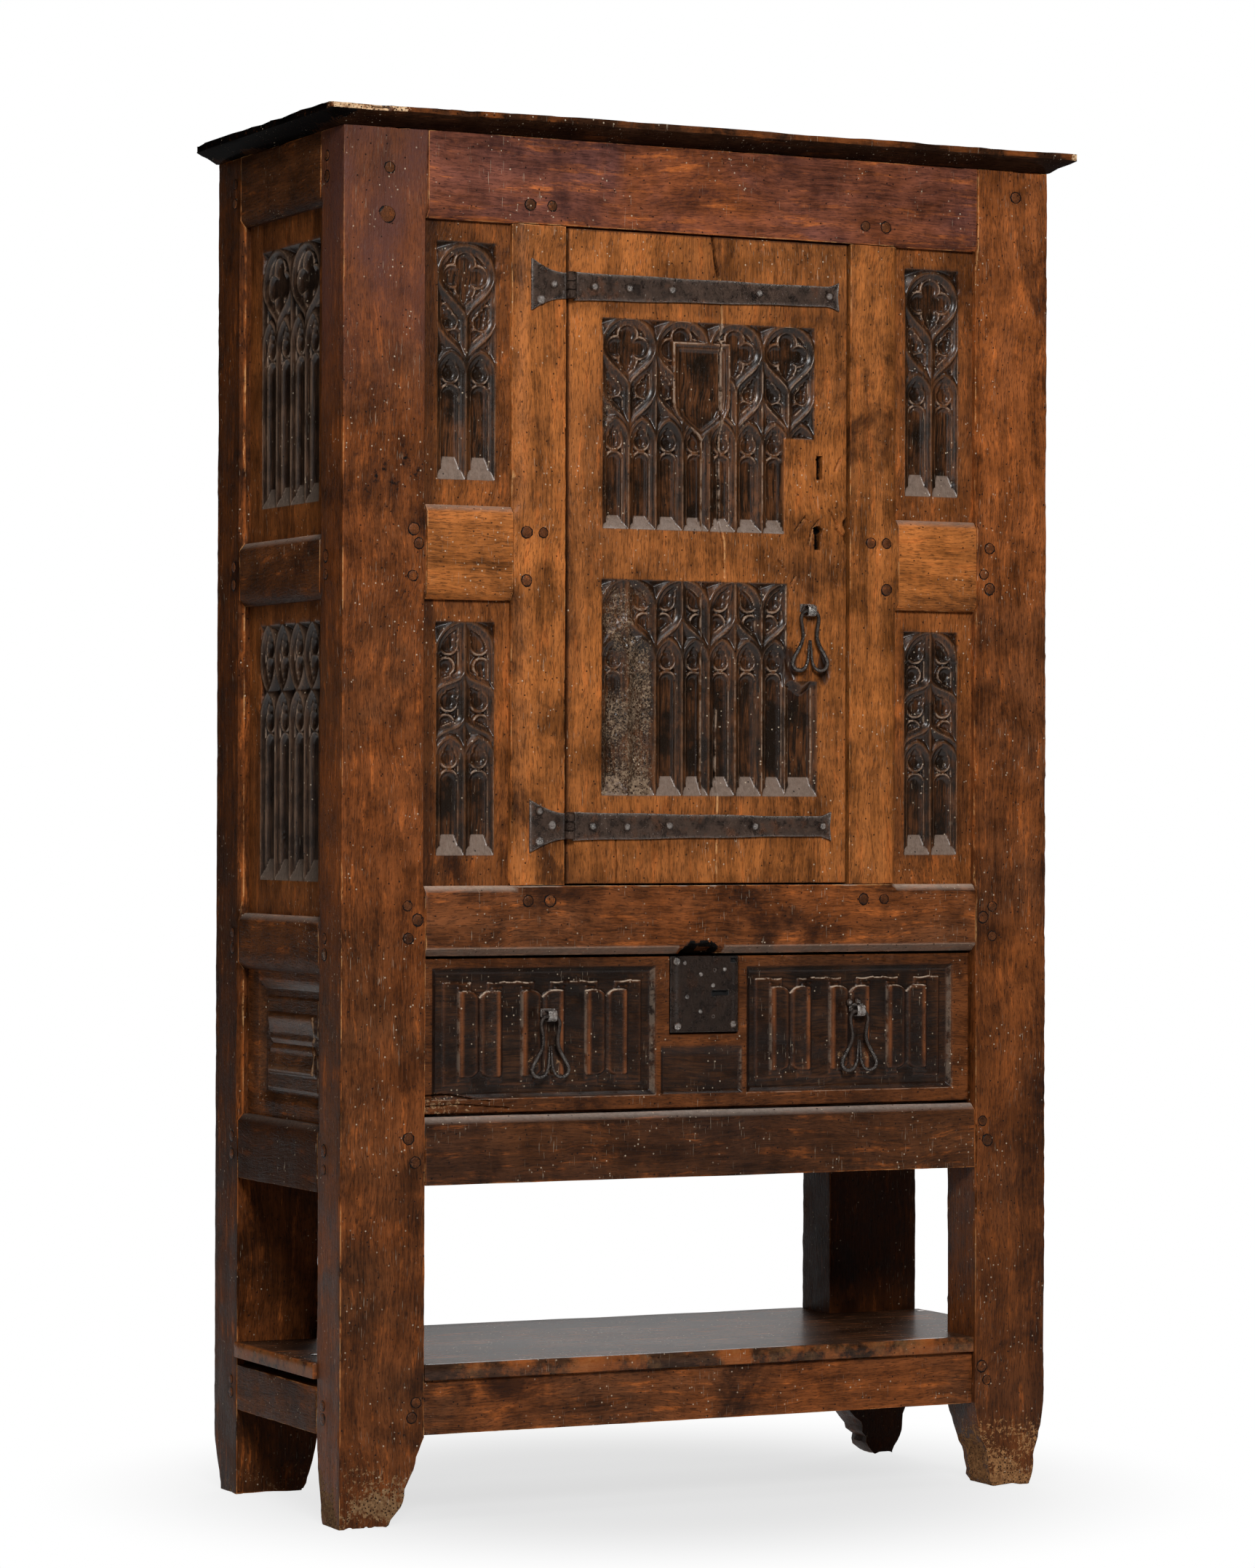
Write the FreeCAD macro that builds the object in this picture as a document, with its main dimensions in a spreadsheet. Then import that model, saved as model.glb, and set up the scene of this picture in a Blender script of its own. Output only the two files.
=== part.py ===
import FreeCAD, Part
import os
import re

# A late Gothic oak cupboard: four post legs, a door between carved lights, a drawer and a shelf.
# Its front faces -Y, its feet stand on Z = 0, and every size is in millimetres.

sizes = {
    # front of the frame, from left to right
    "post_width_left": 101,
    "side_light_width": 104.5,
    "muntin_width": 64,
    "door_opening_width": 361,
    "post_width_right": 94,
    "post_width_rear_left": 101,
    "post_width_rear_right": 120,
    # front of the frame, from the floor up
    "stretcher_bottom": 97,
    "stretcher_height": 60.5,
    "stretcher_setback": 6,
    "shelf_thickness": 18,
    "shelf_end_projection": 4,
    "drawer_rail_bottom": 372,
    "drawer_rail_height": 75,
    "drawer_opening_height": 177,
    "middle_rail_height": 78,
    "lower_light_height": 316,
    "cross_rail_height": 105,
    "upper_light_height": 315,
    "top_rail_height": 97,
    # depth of the frame
    "post_depth_front": 66,
    "side_opening_depth": 240,
    "post_depth_rear": 71,
    "rail_thickness": 38,
    # rails of the two sides
    "side_top_rail_height": 81,
    "side_cross_rail_height": 73,
    "side_middle_rail_drop": 21,
    "side_middle_rail_height": 64,
    "side_bottom_rail_drop": 9,
    "side_bottom_rail_height": 74,
    "side_stretcher_height": 52,
    # joints
    "tenon_thickness": 14,
    "tenon_setback": 12,
    "tenon_length": 42,
    "side_tenon_length": 36,
    "tenon_shoulder": 12,
    "muntin_tenon_length": 30,
    "peg_radius": 7,
    "peg_length": 34,
    "peg_proud": 1,
    # panels and the chamfers round their openings
    "panel_thickness": 15,
    "panel_setback": 13,
    "panel_tongue": 10,
    "light_chamfer": 8,
    "post_chamfer": 4,
    "carving_depth": 6,
    "carving_rib": 5,
    "field_side_margin": 17,
    "field_end_margin": 25,
    "small_field_margin": 22,
    # top board
    "top_overhang": 27,
    "top_overhang_rear": 8,
    "top_seat_overhang": 2,
    "top_bevel_height": 14,
    "top_edge_height": 7,
    # feet, worn away at their corners
    "foot_inset": 43,
    "foot_rise": 95,
    # inside of the cupboard
    "back_board_thickness": 14,
    "back_board_gap": 1,
    "floor_thickness": 16,
    "floor_clearance": 1,
    # door
    "door_thickness": 25,
    "door_left_plank_width": 185.5,
    "door_gap_hinge": 2,
    "door_gap_free": 3,
    "door_gap_end": 2,
    "door_stile_margin": 42,
    "door_field_gap": 56,
    "door_field_height": 240,
    "door_field_sill": 98,
    # hinges
    "hinge_plate_width": 41,
    "hinge_plate_height": 60,
    "hinge_plate_thickness": 3,
    "hinge_rise": 64,
    "hinge_drop": 65,
    "knuckle_radius": 6,
    "knuckle_height": 29,
    "knuckle_gap": 0.3,
    "hinge_pin_radius": 2.5,
    "hinge_pin_clearance": 0.05,
    "hinge_pin_head": 1.5,
    "strap_end_gap": 13.7,
    "strap_root_height": 32,
    "strap_tail_height": 22,
    "strap_end_length": 15,
    "strap_end_height": 34,
    "strap_thickness": 4,
    "nail_head_radius": 5,
    "nail_head_height": 2,
    "nail_shank_radius": 2,
    "nail_shank_length": 20,
    # door lock
    "keyhole_width": 4,
    "keyhole_height": 24,
    "keyhole_round_radius": 2.7,
    "keyhole_edge_distance": 39,
    "keyhole_rise_upper": 462,
    "keyhole_rise_lower": 381,
    "lock_case_width": 84,
    "lock_case_height": 90,
    "lock_case_thickness": 20,
    "lock_case_edge_distance": 8,
    "bolt_width": 14,
    "bolt_thickness": 5,
    "bolt_length": 34,
    "bolt_travel": 11,
    "bolt_clearance": 0.5,
    "bolt_seat": 4,
    # handles
    "staple_width": 18,
    "staple_height": 14,
    "staple_proud": 13,
    "staple_band": 2.5,
    "handle_length": 72,
    "handle_wire_radius": 2.2,
    "handle_clearance": 0.4,
    "handle_spread": 24,
    "door_handle_rise": 310,
    "door_handle_edge_distance": 53,
    "drawer_handle_drop": 65,
    "drawer_handle_inset": 150,
    # drawer
    "drawer_front_setback": 11,
    "drawer_front_thickness": 22,
    "drawer_gap": 3,
    "drawer_length": 290,
    "drawer_side_thickness": 14,
    "drawer_side_height": 145,
    "drawer_bottom_thickness": 10,
    "drawer_lift": 0.3,
    "runner_width": 30,
    "runner_height": 20,
    "drawer_field_margin": 13,
    "drawer_field_width": 270,
    "linen_depth": 4,
    "lock_plate_width": 86,
    "lock_plate_height": 86,
    "lock_plate_thickness": 2.5,
    "drawer_lock_inset": 13,
    "drawer_lock_depth": 12,
    # how far a cutter runs past the face that it cuts
    "overrun": 5,
}

# Places that follow from the sizes, in the order in which they build on each other
places = {
    "frame_width": "post_width_left + 2 * side_light_width + 2 * muntin_width + door_opening_width"
                   " + post_width_right",
    "frame_depth": "post_depth_front + side_opening_depth + post_depth_rear",
    "left_face": "-frame_width / 2",
    "right_face": "frame_width / 2",
    "front_face": "(top_overhang - top_overhang_rear - frame_depth) / 2",
    "rear_face": "front_face + frame_depth",
    "opening_left": "left_face + post_width_left",
    "muntin_left_start": "opening_left + side_light_width",
    "door_opening_left": "muntin_left_start + muntin_width",
    "door_opening_right": "door_opening_left + door_opening_width",
    "muntin_right_end": "door_opening_right + muntin_width",
    "opening_right": "right_face - post_width_right",
    "rear_left": "left_face + post_width_rear_left",
    "rear_right": "right_face - post_width_rear_right",
    "stretcher_top": "stretcher_bottom + stretcher_height",
    "shelf_top": "stretcher_top + shelf_thickness",
    "drawer_rail_top": "drawer_rail_bottom + drawer_rail_height",
    "drawer_opening_top": "drawer_rail_top + drawer_opening_height",
    "middle_rail_top": "drawer_opening_top + middle_rail_height",
    "cross_rail_bottom": "middle_rail_top + lower_light_height",
    "cross_rail_top": "cross_rail_bottom + cross_rail_height",
    "top_rail_bottom": "cross_rail_top + upper_light_height",
    "frame_height": "top_rail_bottom + top_rail_height",
    "side_bottom_rail_bottom": "drawer_rail_bottom - side_bottom_rail_drop",
    "side_bottom_rail_top": "side_bottom_rail_bottom + side_bottom_rail_height",
    "side_middle_rail_bottom": "drawer_opening_top - side_middle_rail_drop",
    "side_middle_rail_top": "side_middle_rail_bottom + side_middle_rail_height",
    "side_cross_rail_top": "cross_rail_bottom + side_cross_rail_height",
    "side_top_rail_bottom": "frame_height - side_top_rail_height",
    "side_front": "front_face + post_depth_front",
    "side_rear": "rear_face - post_depth_rear",
    "rail_back": "front_face + rail_thickness",
    "rear_rail_front": "rear_face - rail_thickness",
    "panel_front": "front_face + panel_setback",
    "panel_back": "panel_front + panel_thickness",
    "tenon_front": "front_face + tenon_setback",
    "tenon_back": "tenon_front + tenon_thickness",
    "door_left": "door_opening_left + door_gap_hinge",
    "door_right": "door_opening_right - door_gap_free",
    "door_bottom": "middle_rail_top + door_gap_end",
    "door_top": "top_rail_bottom - door_gap_end",
    "door_back": "front_face + door_thickness",
    "door_joint": "door_left + door_left_plank_width",
    "hinge_axis_x": "door_opening_left + knuckle_radius / 2",
    "hinge_axis_y": "front_face - knuckle_radius - knuckle_gap",
    "strap_root": "hinge_axis_x + knuckle_radius + knuckle_gap",
    "strap_length": "door_right - strap_end_gap - strap_root",
    "hinge_height_low": "door_bottom + hinge_rise",
    "hinge_height_high": "door_top - hinge_drop",
    "keyhole_x": "door_right - keyhole_edge_distance",
    "keyhole_height_upper": "door_bottom + keyhole_rise_upper",
    "keyhole_height_lower": "door_bottom + keyhole_rise_lower",
    "door_handle_x": "door_right - door_handle_edge_distance",
    "door_handle_height": "door_bottom + door_handle_rise",
    "drawer_left": "opening_left + drawer_gap",
    "drawer_right": "opening_right - drawer_gap",
    "drawer_face": "front_face + drawer_front_setback",
    "drawer_front_back": "drawer_face + drawer_front_thickness",
    "drawer_end": "drawer_front_back + drawer_length - drawer_front_thickness",
    "drawer_base": "drawer_rail_top + drawer_lift",
    "drawer_floor": "drawer_base + drawer_bottom_thickness",
    "drawer_front_top": "drawer_opening_top - drawer_gap",
    "lock_plate_x": "(drawer_left + drawer_right) / 2",
    "drawer_handle_height": "drawer_front_top - drawer_handle_drop",
    "drawer_handle_left_x": "drawer_left + drawer_handle_inset",
    "drawer_handle_right_x": "drawer_right - drawer_handle_inset",
}

# Shares of a joint's width and height at which its pegs stand, chosen by eye
peg_shares = {
    ("post_front_left", "top_rail_front"): [(0.54, 0.54)],
    ("post_front_left", "cross_rails"): [(0.84, 0.73), (0.90, 0.58), (0.83, 0.24)],
    ("post_front_left", "middle_rail_front"): [(0.78, 0.72), (0.90, 0.52), (0.79, 0.26)],
    ("post_front_left", "drawer_rail_front"): [(0.80, 0.70), (0.88, 0.35)],
    ("post_front_left", "stretcher_front"): [(0.90, 0.62), (0.85, 0.35)],
    ("post_front_right", "top_rail_front"): [(0.46, 0.68)],
    ("post_front_right", "cross_rails"): [(0.82, 0.71), (0.90, 0.42), (0.82, 0.26)],
    ("post_front_right", "middle_rail_front"): [(0.77, 0.66), (0.90, 0.50), (0.77, 0.22)],
    ("post_front_right", "drawer_rail_front"): [(0.90, 0.72), (0.83, 0.42)],
    ("post_front_right", "stretcher_front"): [(0.90, 0.72), (0.83, 0.45)],
}
muntin_peg_shares = (0.30, 0.72)
rail_peg_height_share = 0.22
cross_peg_shares = ((0.25, 0.73), (0.57, 0.73), (0.25, 0.22))
side_peg_height_shares = (0.64, 0.36)

# Corners worn off the feet: face, share of the foot inset, share of the foot rise
foot_shares = {
    "post_front_left": [("right", 1.0, 1.0), ("rear", 0.37, 1.0)],
    "post_front_right": [("left", 0.62, 1.0), ("right", 0.48, 0.75), ("rear", 0.30, 0.80)],
    "post_rear_left": [("right", 0.40, 0.50), ("rear", 0.55, 0.70)],
    "post_rear_right": [("left", 1.0, 0.55), ("right", 0.62, 0.50), ("rear", 0.30, 0.50)],
}

door_nail_shares = (0.07, 0.20, 0.36, 0.69, 0.96)
plate_nail_shares = ((0.28, 0.78), (0.28, 0.22), (0.66, 0.52))
strap_tail_drop_share = 0.3
shelf_nail_shares = ((0.034, 0.38), (0.984, 0.87))
lancet_top_share = 0.55
linen_fold_shares = ((0.12, 0.28), (0.41, 0.59), (0.72, 0.88))

# One side of a handle's wire, below its top bar: down the leg, round the lobe and up to the spike,
# as shares of its spread and its length
handle_wire_shares = (
    (0.50, 0.10), (0.42, 0.28), (0.40, 0.44), (0.48, 0.56), (0.88, 0.78), (0.96, 0.88), (0.80, 0.97),
    (0.50, 1.00), (0.20, 0.93), (0.06, 0.78), (0.00, 0.55),
)
handle_joint_share = 1.04

doc = FreeCAD.newDocument("court_cupboard")
sheet = doc.addObject("Spreadsheet::Sheet", "sizes")
lines = doc.addObject("Spreadsheet::Sheet", "places")


# Puts the owning sheet's name before each alias in a formula
def formula(text):
    def owned(match):
        word = match.group(0)
        if word in sizes:
            return "sizes." + word
        return "places." + word if word in places else word
    return re.sub(r"[A-Za-z_]\w*", owned, text)


for row, (name, value) in enumerate(sizes.items(), start=1):
    sheet.set(f"A{row}", name)
    sheet.set(f"B{row}", str(value))
    sheet.setAlias(f"B{row}", name)
doc.recompute()
for row, (name, text) in enumerate(places.items(), start=1):
    lines.set(f"A{row}", name)
    lines.set(f"B{row}", "=" + formula(text).replace("places.", ""))
    lines.setAlias(f"B{row}", name)
    doc.recompute()

sub_parts = []
blanks = {}
added = {}
removed = {}


def number(name):
    return float((lines if name in places else sheet).get(name))


def bind(solid, **formulas):
    for name, text in formulas.items():
        solid.setExpression(name.replace("__", "."), formula(text))


def box(name, x, y, z):
    solid = doc.addObject("Part::Box", name)
    bind(solid, Length=f"({x[1]}) - ({x[0]})", Width=f"({y[1]}) - ({y[0]})", Height=f"({z[1]}) - ({z[0]})")
    bind(solid, Placement__Base__x=x[0], Placement__Base__y=y[0], Placement__Base__z=z[0])
    return solid


# A round bar along an axis, its centre given by the two other coordinates in X, Y, Z order
def rod(name, axis, along, centre, radius):
    solid = doc.addObject("Part::Cylinder", name)
    bind(solid, Radius=radius, Height=f"({along[1]}) - ({along[0]})")
    turns = {
        "x": FreeCAD.Rotation(FreeCAD.Vector(0, 1, 0), 90),
        "y": FreeCAD.Rotation(FreeCAD.Vector(1, 0, 0), -90),
        "z": FreeCAD.Rotation(),
    }
    solid.Placement = FreeCAD.Placement(FreeCAD.Vector(), turns[axis])
    others = [letter for letter in "xyz" if letter != axis]
    starts = {axis: along[0], others[0]: centre[0], others[1]: centre[1]}
    bind(solid, **{f"Placement__Base__{letter}": text for letter, text in starts.items()})
    return solid


# A solid between two rectangles that stand square to an axis, each given as two ranges
def frustum(name, axis, along, low, high):
    solid = doc.addObject("Part::Wedge", name)
    across, up = low
    across_end, up_end = high
    if axis == "x":
        across = (f"-({across[1]})", f"-({across[0]})")
        across_end = (f"-({across_end[1]})", f"-({across_end[0]})")
        solid.Placement.Rotation = FreeCAD.Rotation(FreeCAD.Vector(0, 0, 1), -90)
    if axis == "z":
        up = (f"-({up[1]})", f"-({up[0]})")
        up_end = (f"-({up_end[1]})", f"-({up_end[0]})")
        solid.Placement.Rotation = FreeCAD.Rotation(FreeCAD.Vector(1, 0, 0), 90)
    bind(solid, Ymin=along[0], Ymax=along[1])
    bind(solid, Xmin=across[0], Xmax=across[1], Zmin=up[0], Zmax=up[1])
    bind(solid, X2min=across_end[0], X2max=across_end[1], Z2min=up_end[0], Z2max=up_end[1])
    return solid


def joined(name, solids):
    if len(solids) == 1:
        return solids[0]
    whole = doc.addObject("Part::MultiFuse", name)
    whole.Shapes = solids
    return whole


def trimmed(name, base, tools):
    result = doc.addObject("Part::Cut", name)
    result.Base = base
    result.Tool = joined(name + "_waste", tools)
    return result


def keep(label, solid):
    solid.Label = label
    sub_parts.append(solid)


# Separate solids of one kind that share a node
def group(label, solids):
    whole = doc.addObject("Part::Compound", label + "_group")
    whole.Links = solids
    keep(label, whole)


def blank(label, x, y, z):
    blanks[label] = box(label + "_blank", x, y, z)
    added[label] = []
    removed[label] = []


def worked(label):
    solid = joined(label + "_whole", [blanks[label]] + added[label])
    return trimmed(label + "_cut", solid, removed[label]) if removed[label] else solid


def tenon(rail, post, x, y, z):
    tongue = box(f"{rail}_tenon_{post}", x, y, z)
    added[rail].append(tongue)
    removed[post].append(tongue)


def let_in(panel, frame_labels):
    for label in frame_labels:
        removed[label].append(blanks[panel])


pegs = []


def peg(axis, along, centre, labels):
    pin = rod(f"peg_{len(pegs) + 1}", axis, along, centre, "peg_radius")
    pegs.append(pin)
    for label in labels:
        removed[label].append(pin)


# Range of x at a distance inwards from the outer face of one side
def from_side(side, near, far):
    if side == "left":
        return (f"left_face + {near}", f"left_face + {far}")
    return (f"right_face - ({far})", f"right_face - ({near})")


def part_way(low, high, share):
    return f"({low}) + {share} * (({high}) - ({low}))"


# Posts
posts = {
    "post_front_left": (("left_face", "opening_left"), ("front_face", "side_front")),
    "post_front_right": (("opening_right", "right_face"), ("front_face", "side_front")),
    "post_rear_left": (("left_face", "rear_left"), ("side_rear", "rear_face")),
    "post_rear_right": (("rear_right", "right_face"), ("side_rear", "rear_face")),
}
for label, (x, y) in posts.items():
    blank(label, x, y, ("0", "frame_height"))
    for face, inset_share, rise_share in foot_shares[label]:
        inset = f"{inset_share} * foot_inset"
        rise = ("0", f"{rise_share} * foot_rise")
        if face == "right":
            low = ((f"{x[1]} - {inset}", f"{x[1]} + overrun"), y)
            high = ((x[1], f"{x[1]} + overrun"), y)
        elif face == "left":
            low = ((f"{x[0]} - overrun", f"{x[0]} + {inset}"), y)
            high = ((f"{x[0]} - overrun", x[0]), y)
        else:
            low = (x, (f"{y[1]} - {inset}", f"{y[1]} + overrun"))
            high = (x, (y[1], f"{y[1]} + overrun"))
        removed[label].append(frustum(f"{label}_worn_{face}", "z", rise, low, high))

# Front rails between the posts, with a tenon into each
front_rails = {
    "top_rail_front": ("top_rail_bottom", "frame_height"),
    "middle_rail_front": ("drawer_opening_top", "middle_rail_top"),
    "drawer_rail_front": ("drawer_rail_bottom", "drawer_rail_top"),
    "stretcher_front": ("stretcher_bottom", "stretcher_top"),
}


def tenon_height(z):
    return (f"{z[0]} + tenon_shoulder", f"{z[1]} - tenon_shoulder")


def front_pegs(post, rail, z, labels):
    x = posts[post][0]
    toward_rail = x if post.endswith("left") else (x[1], x[0])
    for across, up in peg_shares[post, rail]:
        centre = (part_way(*toward_rail, across), part_way(*z, up))
        peg("y", ("front_face - peg_proud", "front_face + peg_length"), centre, labels)


tenon_depth = ("tenon_front", "tenon_back")
for label, z in front_rails.items():
    set_back = "front_face + stretcher_setback" if label == "stretcher_front" else "front_face"
    blank(label, ("opening_left", "opening_right"), (set_back, "rail_back"), z)
    heights = tenon_height(z)
    tenon(label, "post_front_left", ("opening_left - tenon_length", "opening_left"), tenon_depth, heights)
    tenon(label, "post_front_right", ("opening_right", "opening_right + tenon_length"), tenon_depth, heights)
    for post in ("post_front_left", "post_front_right"):
        front_pegs(post, label, z, (post, label))

# Muntins beside the door, tenoned into the rails above and below
muntins = {
    "muntin_left": ("muntin_left_start", "door_opening_left"),
    "muntin_right": ("door_opening_right", "muntin_right_end"),
}
for label, x in muntins.items():
    blank(label, x, ("front_face", "rail_back"), ("middle_rail_top", "top_rail_bottom"))
    cheeks = (f"{x[0]} + tenon_shoulder", f"{x[1]} - tenon_shoulder")
    top = ("top_rail_bottom", "top_rail_bottom + muntin_tenon_length")
    bottom = ("middle_rail_top - muntin_tenon_length", "middle_rail_top")
    tenon(label, "top_rail_front", cheeks, tenon_depth, top)
    tenon(label, "middle_rail_front", cheeks, tenon_depth, bottom)
    for share in muntin_peg_shares:
        across = part_way(*x, share)
        reach = ("front_face - peg_proud", "front_face + peg_length")
        upper = part_way(*front_rails["top_rail_front"], rail_peg_height_share)
        lower = part_way(*reversed(front_rails["middle_rail_front"]), rail_peg_height_share)
        peg("y", reach, (across, upper), (label, "top_rail_front"))
        peg("y", reach, (across, lower), (label, "middle_rail_front"))

# Short cross rails between the posts and the muntins
cross_height = ("cross_rail_bottom", "cross_rail_top")
cross_rails = {
    "left": ("opening_left", "muntin_left_start", "post_front_left", "muntin_left"),
    "right": ("muntin_right_end", "opening_right", "muntin_right", "post_front_right"),
}
for side, (start, end, start_piece, end_piece) in cross_rails.items():
    label = f"cross_rail_{side}"
    blank(label, (start, end), ("front_face", "rail_back"), cross_height)
    reach = {True: "tenon_length", False: "muntin_tenon_length"}
    start_length = reach[start_piece.startswith("post")]
    end_length = reach[end_piece.startswith("post")]
    tenon(label, start_piece, (f"{start} - {start_length}", start), tenon_depth, tenon_height(cross_height))
    tenon(label, end_piece, (end, f"{end} + {end_length}"), tenon_depth, tenon_height(cross_height))
    front_pegs(f"post_front_{side}", "cross_rails", cross_height, (f"post_front_{side}", label))
    muntin_x = muntins[f"muntin_{side}"]
    toward_door = muntin_x if side == "left" else (muntin_x[1], muntin_x[0])
    for across, up in cross_peg_shares:
        centre = (part_way(*toward_door, across), part_way(*cross_height, up))
        reach_in = ("front_face - peg_proud", "front_face + peg_length")
        peg("y", reach_in, centre, (f"muntin_{side}", label))

# Rails of the two sides, between the front and rear posts
side_rails = {
    "side_top_rail": ("side_top_rail_bottom", "frame_height"),
    "side_cross_rail": ("cross_rail_bottom", "side_cross_rail_top"),
    "side_middle_rail": ("side_middle_rail_bottom", "side_middle_rail_top"),
    "side_bottom_rail": ("side_bottom_rail_bottom", "side_bottom_rail_top"),
    "side_stretcher": ("stretcher_bottom", "stretcher_bottom + side_stretcher_height"),
}
side_tenon_ends = {
    "front": ("side_front - side_tenon_length", "side_front"),
    "rear": ("side_rear", "side_rear + side_tenon_length"),
}
for side in ("left", "right"):
    for kind, z in side_rails.items():
        label = f"{kind}_{side}"
        blank(label, from_side(side, "0", "rail_thickness"), ("side_front", "side_rear"), z)
        cheeks = from_side(side, "tenon_setback", "tenon_setback + tenon_thickness")
        for end, y in side_tenon_ends.items():
            post = f"post_{end}_{side}"
            tenon(label, post, cheeks, y, tenon_height(z))
            for up in side_peg_height_shares:
                centre = (part_way(*y, 1 / 2), part_way(*z, up))
                reach_in = from_side(side, "-peg_proud", "peg_length")
                peg("x", reach_in, centre, (post, label))

# Rear rails between the rear posts
rear_rails = {
    "top_rail_rear": ("top_rail_bottom", "frame_height"),
    "bottom_rail_rear": ("drawer_rail_bottom", "drawer_rail_top"),
    "stretcher_rear": ("stretcher_bottom", "stretcher_top"),
}
rear_tenon_depth = ("rear_face - tenon_setback - tenon_thickness", "rear_face - tenon_setback")
for label, z in rear_rails.items():
    blank(label, ("rear_left", "rear_right"), ("rear_rail_front", "rear_face"), z)
    heights = tenon_height(z)
    tenon(label, "post_rear_left", ("rear_left - tenon_length", "rear_left"), rear_tenon_depth, heights)
    tenon(label, "post_rear_right", ("rear_right", "rear_right + tenon_length"), rear_tenon_depth, heights)
    for post, x in (("post_rear_left", "rear_left - tenon_length / 2"),
                    ("post_rear_right", "rear_right + tenon_length / 2")):
        peg("y", ("rear_face - peg_length", "rear_face + peg_proud"), (x, part_way(*z, 1 / 2)), (post, label))

# Chamfers round each front light, cut into the pieces that frame it
light_columns = {
    "left": ("opening_left", "muntin_left_start"),
    "right": ("muntin_right_end", "opening_right"),
}
light_rows = {
    "upper": ("cross_rail_top", "top_rail_bottom"),
    "lower": ("middle_rail_top", "cross_rail_bottom"),
}


def widened(span, low_chamfer, high_chamfer):
    return (f"{span[0]} - {low_chamfer}", f"{span[1]} + {high_chamfer}")


for side, x in light_columns.items():
    for row, z in light_rows.items():
        chamfers = ("post_chamfer", "light_chamfer")
        wide_x = widened(x, *(chamfers if side == "left" else reversed(chamfers)))
        wide_z = widened(z, "light_chamfer", "light_chamfer")
        splay = frustum(f"splay_{row}_{side}", "y", ("front_face", "panel_front"), (wide_x, wide_z), (x, z))
        outer_rail = "top_rail_front" if row == "upper" else "middle_rail_front"
        frames = (f"post_front_{side}", f"muntin_{side}", f"cross_rail_{side}", outer_rail)
        for label in frames:
            removed[label].append(splay)
        panel = f"front_panel_{row}_{side}"
        wide = (widened(x, "panel_tongue", "panel_tongue"), widened(z, "panel_tongue", "panel_tongue"))
        blank(panel, wide[0], ("panel_front", "panel_back"), wide[1])
        let_in(panel, frames)

# Side panels in three heights, with the same chamfers round their openings
side_lights = {
    "upper": ("side_cross_rail_top", "side_top_rail_bottom", "side_top_rail", "side_cross_rail"),
    "lower": ("side_middle_rail_top", "cross_rail_bottom", "side_cross_rail", "side_middle_rail"),
    "drawer": ("side_bottom_rail_top", "side_middle_rail_bottom", "side_middle_rail", "side_bottom_rail"),
}
side_depth = ("side_front", "side_rear")
for side in ("left", "right"):
    for row, (bottom, top, rail_above, rail_below) in side_lights.items():
        z = (bottom, top)
        wide_y = widened(side_depth, "post_chamfer", "post_chamfer")
        wide_z = widened(z, "light_chamfer", "light_chamfer")
        outer, inner = (wide_y, wide_z), (side_depth, z)
        ends = (outer, inner) if side == "left" else (inner, outer)
        splay = frustum(f"splay_{row}_side_{side}", "x", from_side(side, "0", "panel_setback"), *ends)
        frames = (f"post_front_{side}", f"post_rear_{side}", f"{rail_above}_{side}", f"{rail_below}_{side}")
        for label in frames:
            removed[label].append(splay)
        panel = f"side_panel_{row}_{side}"
        depth = from_side(side, "panel_setback", "panel_setback + panel_thickness")
        blank(panel, depth, widened(side_depth, "panel_tongue", "panel_tongue"),
              widened(z, "panel_tongue", "panel_tongue"))
        let_in(panel, frames)


# A box sunk into a face from its surface, the face named by the side that it looks to
def sunk(name, face, surface, depth, across, up):
    if face == "front":
        return box(name, across, (surface, f"{surface} + {depth}"), up)
    return box(name, from_side(face, surface, f"{surface} + {depth}"), across, up)


# A carved field: a shallow ground with a row of deeper round-headed lancets
def carve(name, face, surface, across, up, count, labels):
    tools = [sunk(f"{name}_ground", face, surface, "carving_depth / 2", across, up)]
    width = f"(({across[1]}) - ({across[0]})) / {count}"
    head = f"({up[0]}) + {lancet_top_share} * (({up[1]}) - ({up[0]}))"
    radius = f"({width} - carving_rib) / 2"
    for column in range(count):
        centre = f"({across[0]}) + ({width}) * {column + 1 / 2}"
        span = (f"{centre} - {radius}", f"{centre} + {radius}")
        body = sunk(f"{name}_lancet_{column + 1}", face, surface, "carving_depth", span, (up[0], head))
        axis = "y" if face == "front" else "x"
        depth = (surface, f"{surface} + carving_depth")
        along = depth if face == "front" else from_side(face, *depth)
        arch = rod(f"{name}_arch_{column + 1}", axis, along, (centre, head), radius)
        tools += [body, arch]
    for label in labels:
        removed[label] += tools


for side, x in light_columns.items():
    across = (f"{x[0]} + field_side_margin", f"{x[1]} - field_side_margin")
    for row, z in light_rows.items():
        up = (f"{z[0]} + field_end_margin", f"{z[1]} - field_end_margin")
        panel = f"front_panel_{row}_{side}"
        carve(panel + "_carving", "front", "panel_front", across, up, 2, [panel])
side_across = ("side_front + 2 * field_side_margin", "side_rear - 2 * field_side_margin")
for side in ("left", "right"):
    for row, (bottom, top, _, _) in side_lights.items():
        panel = f"side_panel_{row}_{side}"
        if row == "drawer":
            up = (f"{bottom} + small_field_margin", f"{top} - small_field_margin")
            field = sunk(panel + "_field", side, "panel_setback", "carving_depth / 2", side_across, up)
            removed[panel].append(field)
        else:
            up = (f"{bottom} + field_end_margin", f"{top} - field_end_margin")
            carve(panel + "_carving", side, "panel_setback", side_across, up, 4, [panel])

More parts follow.
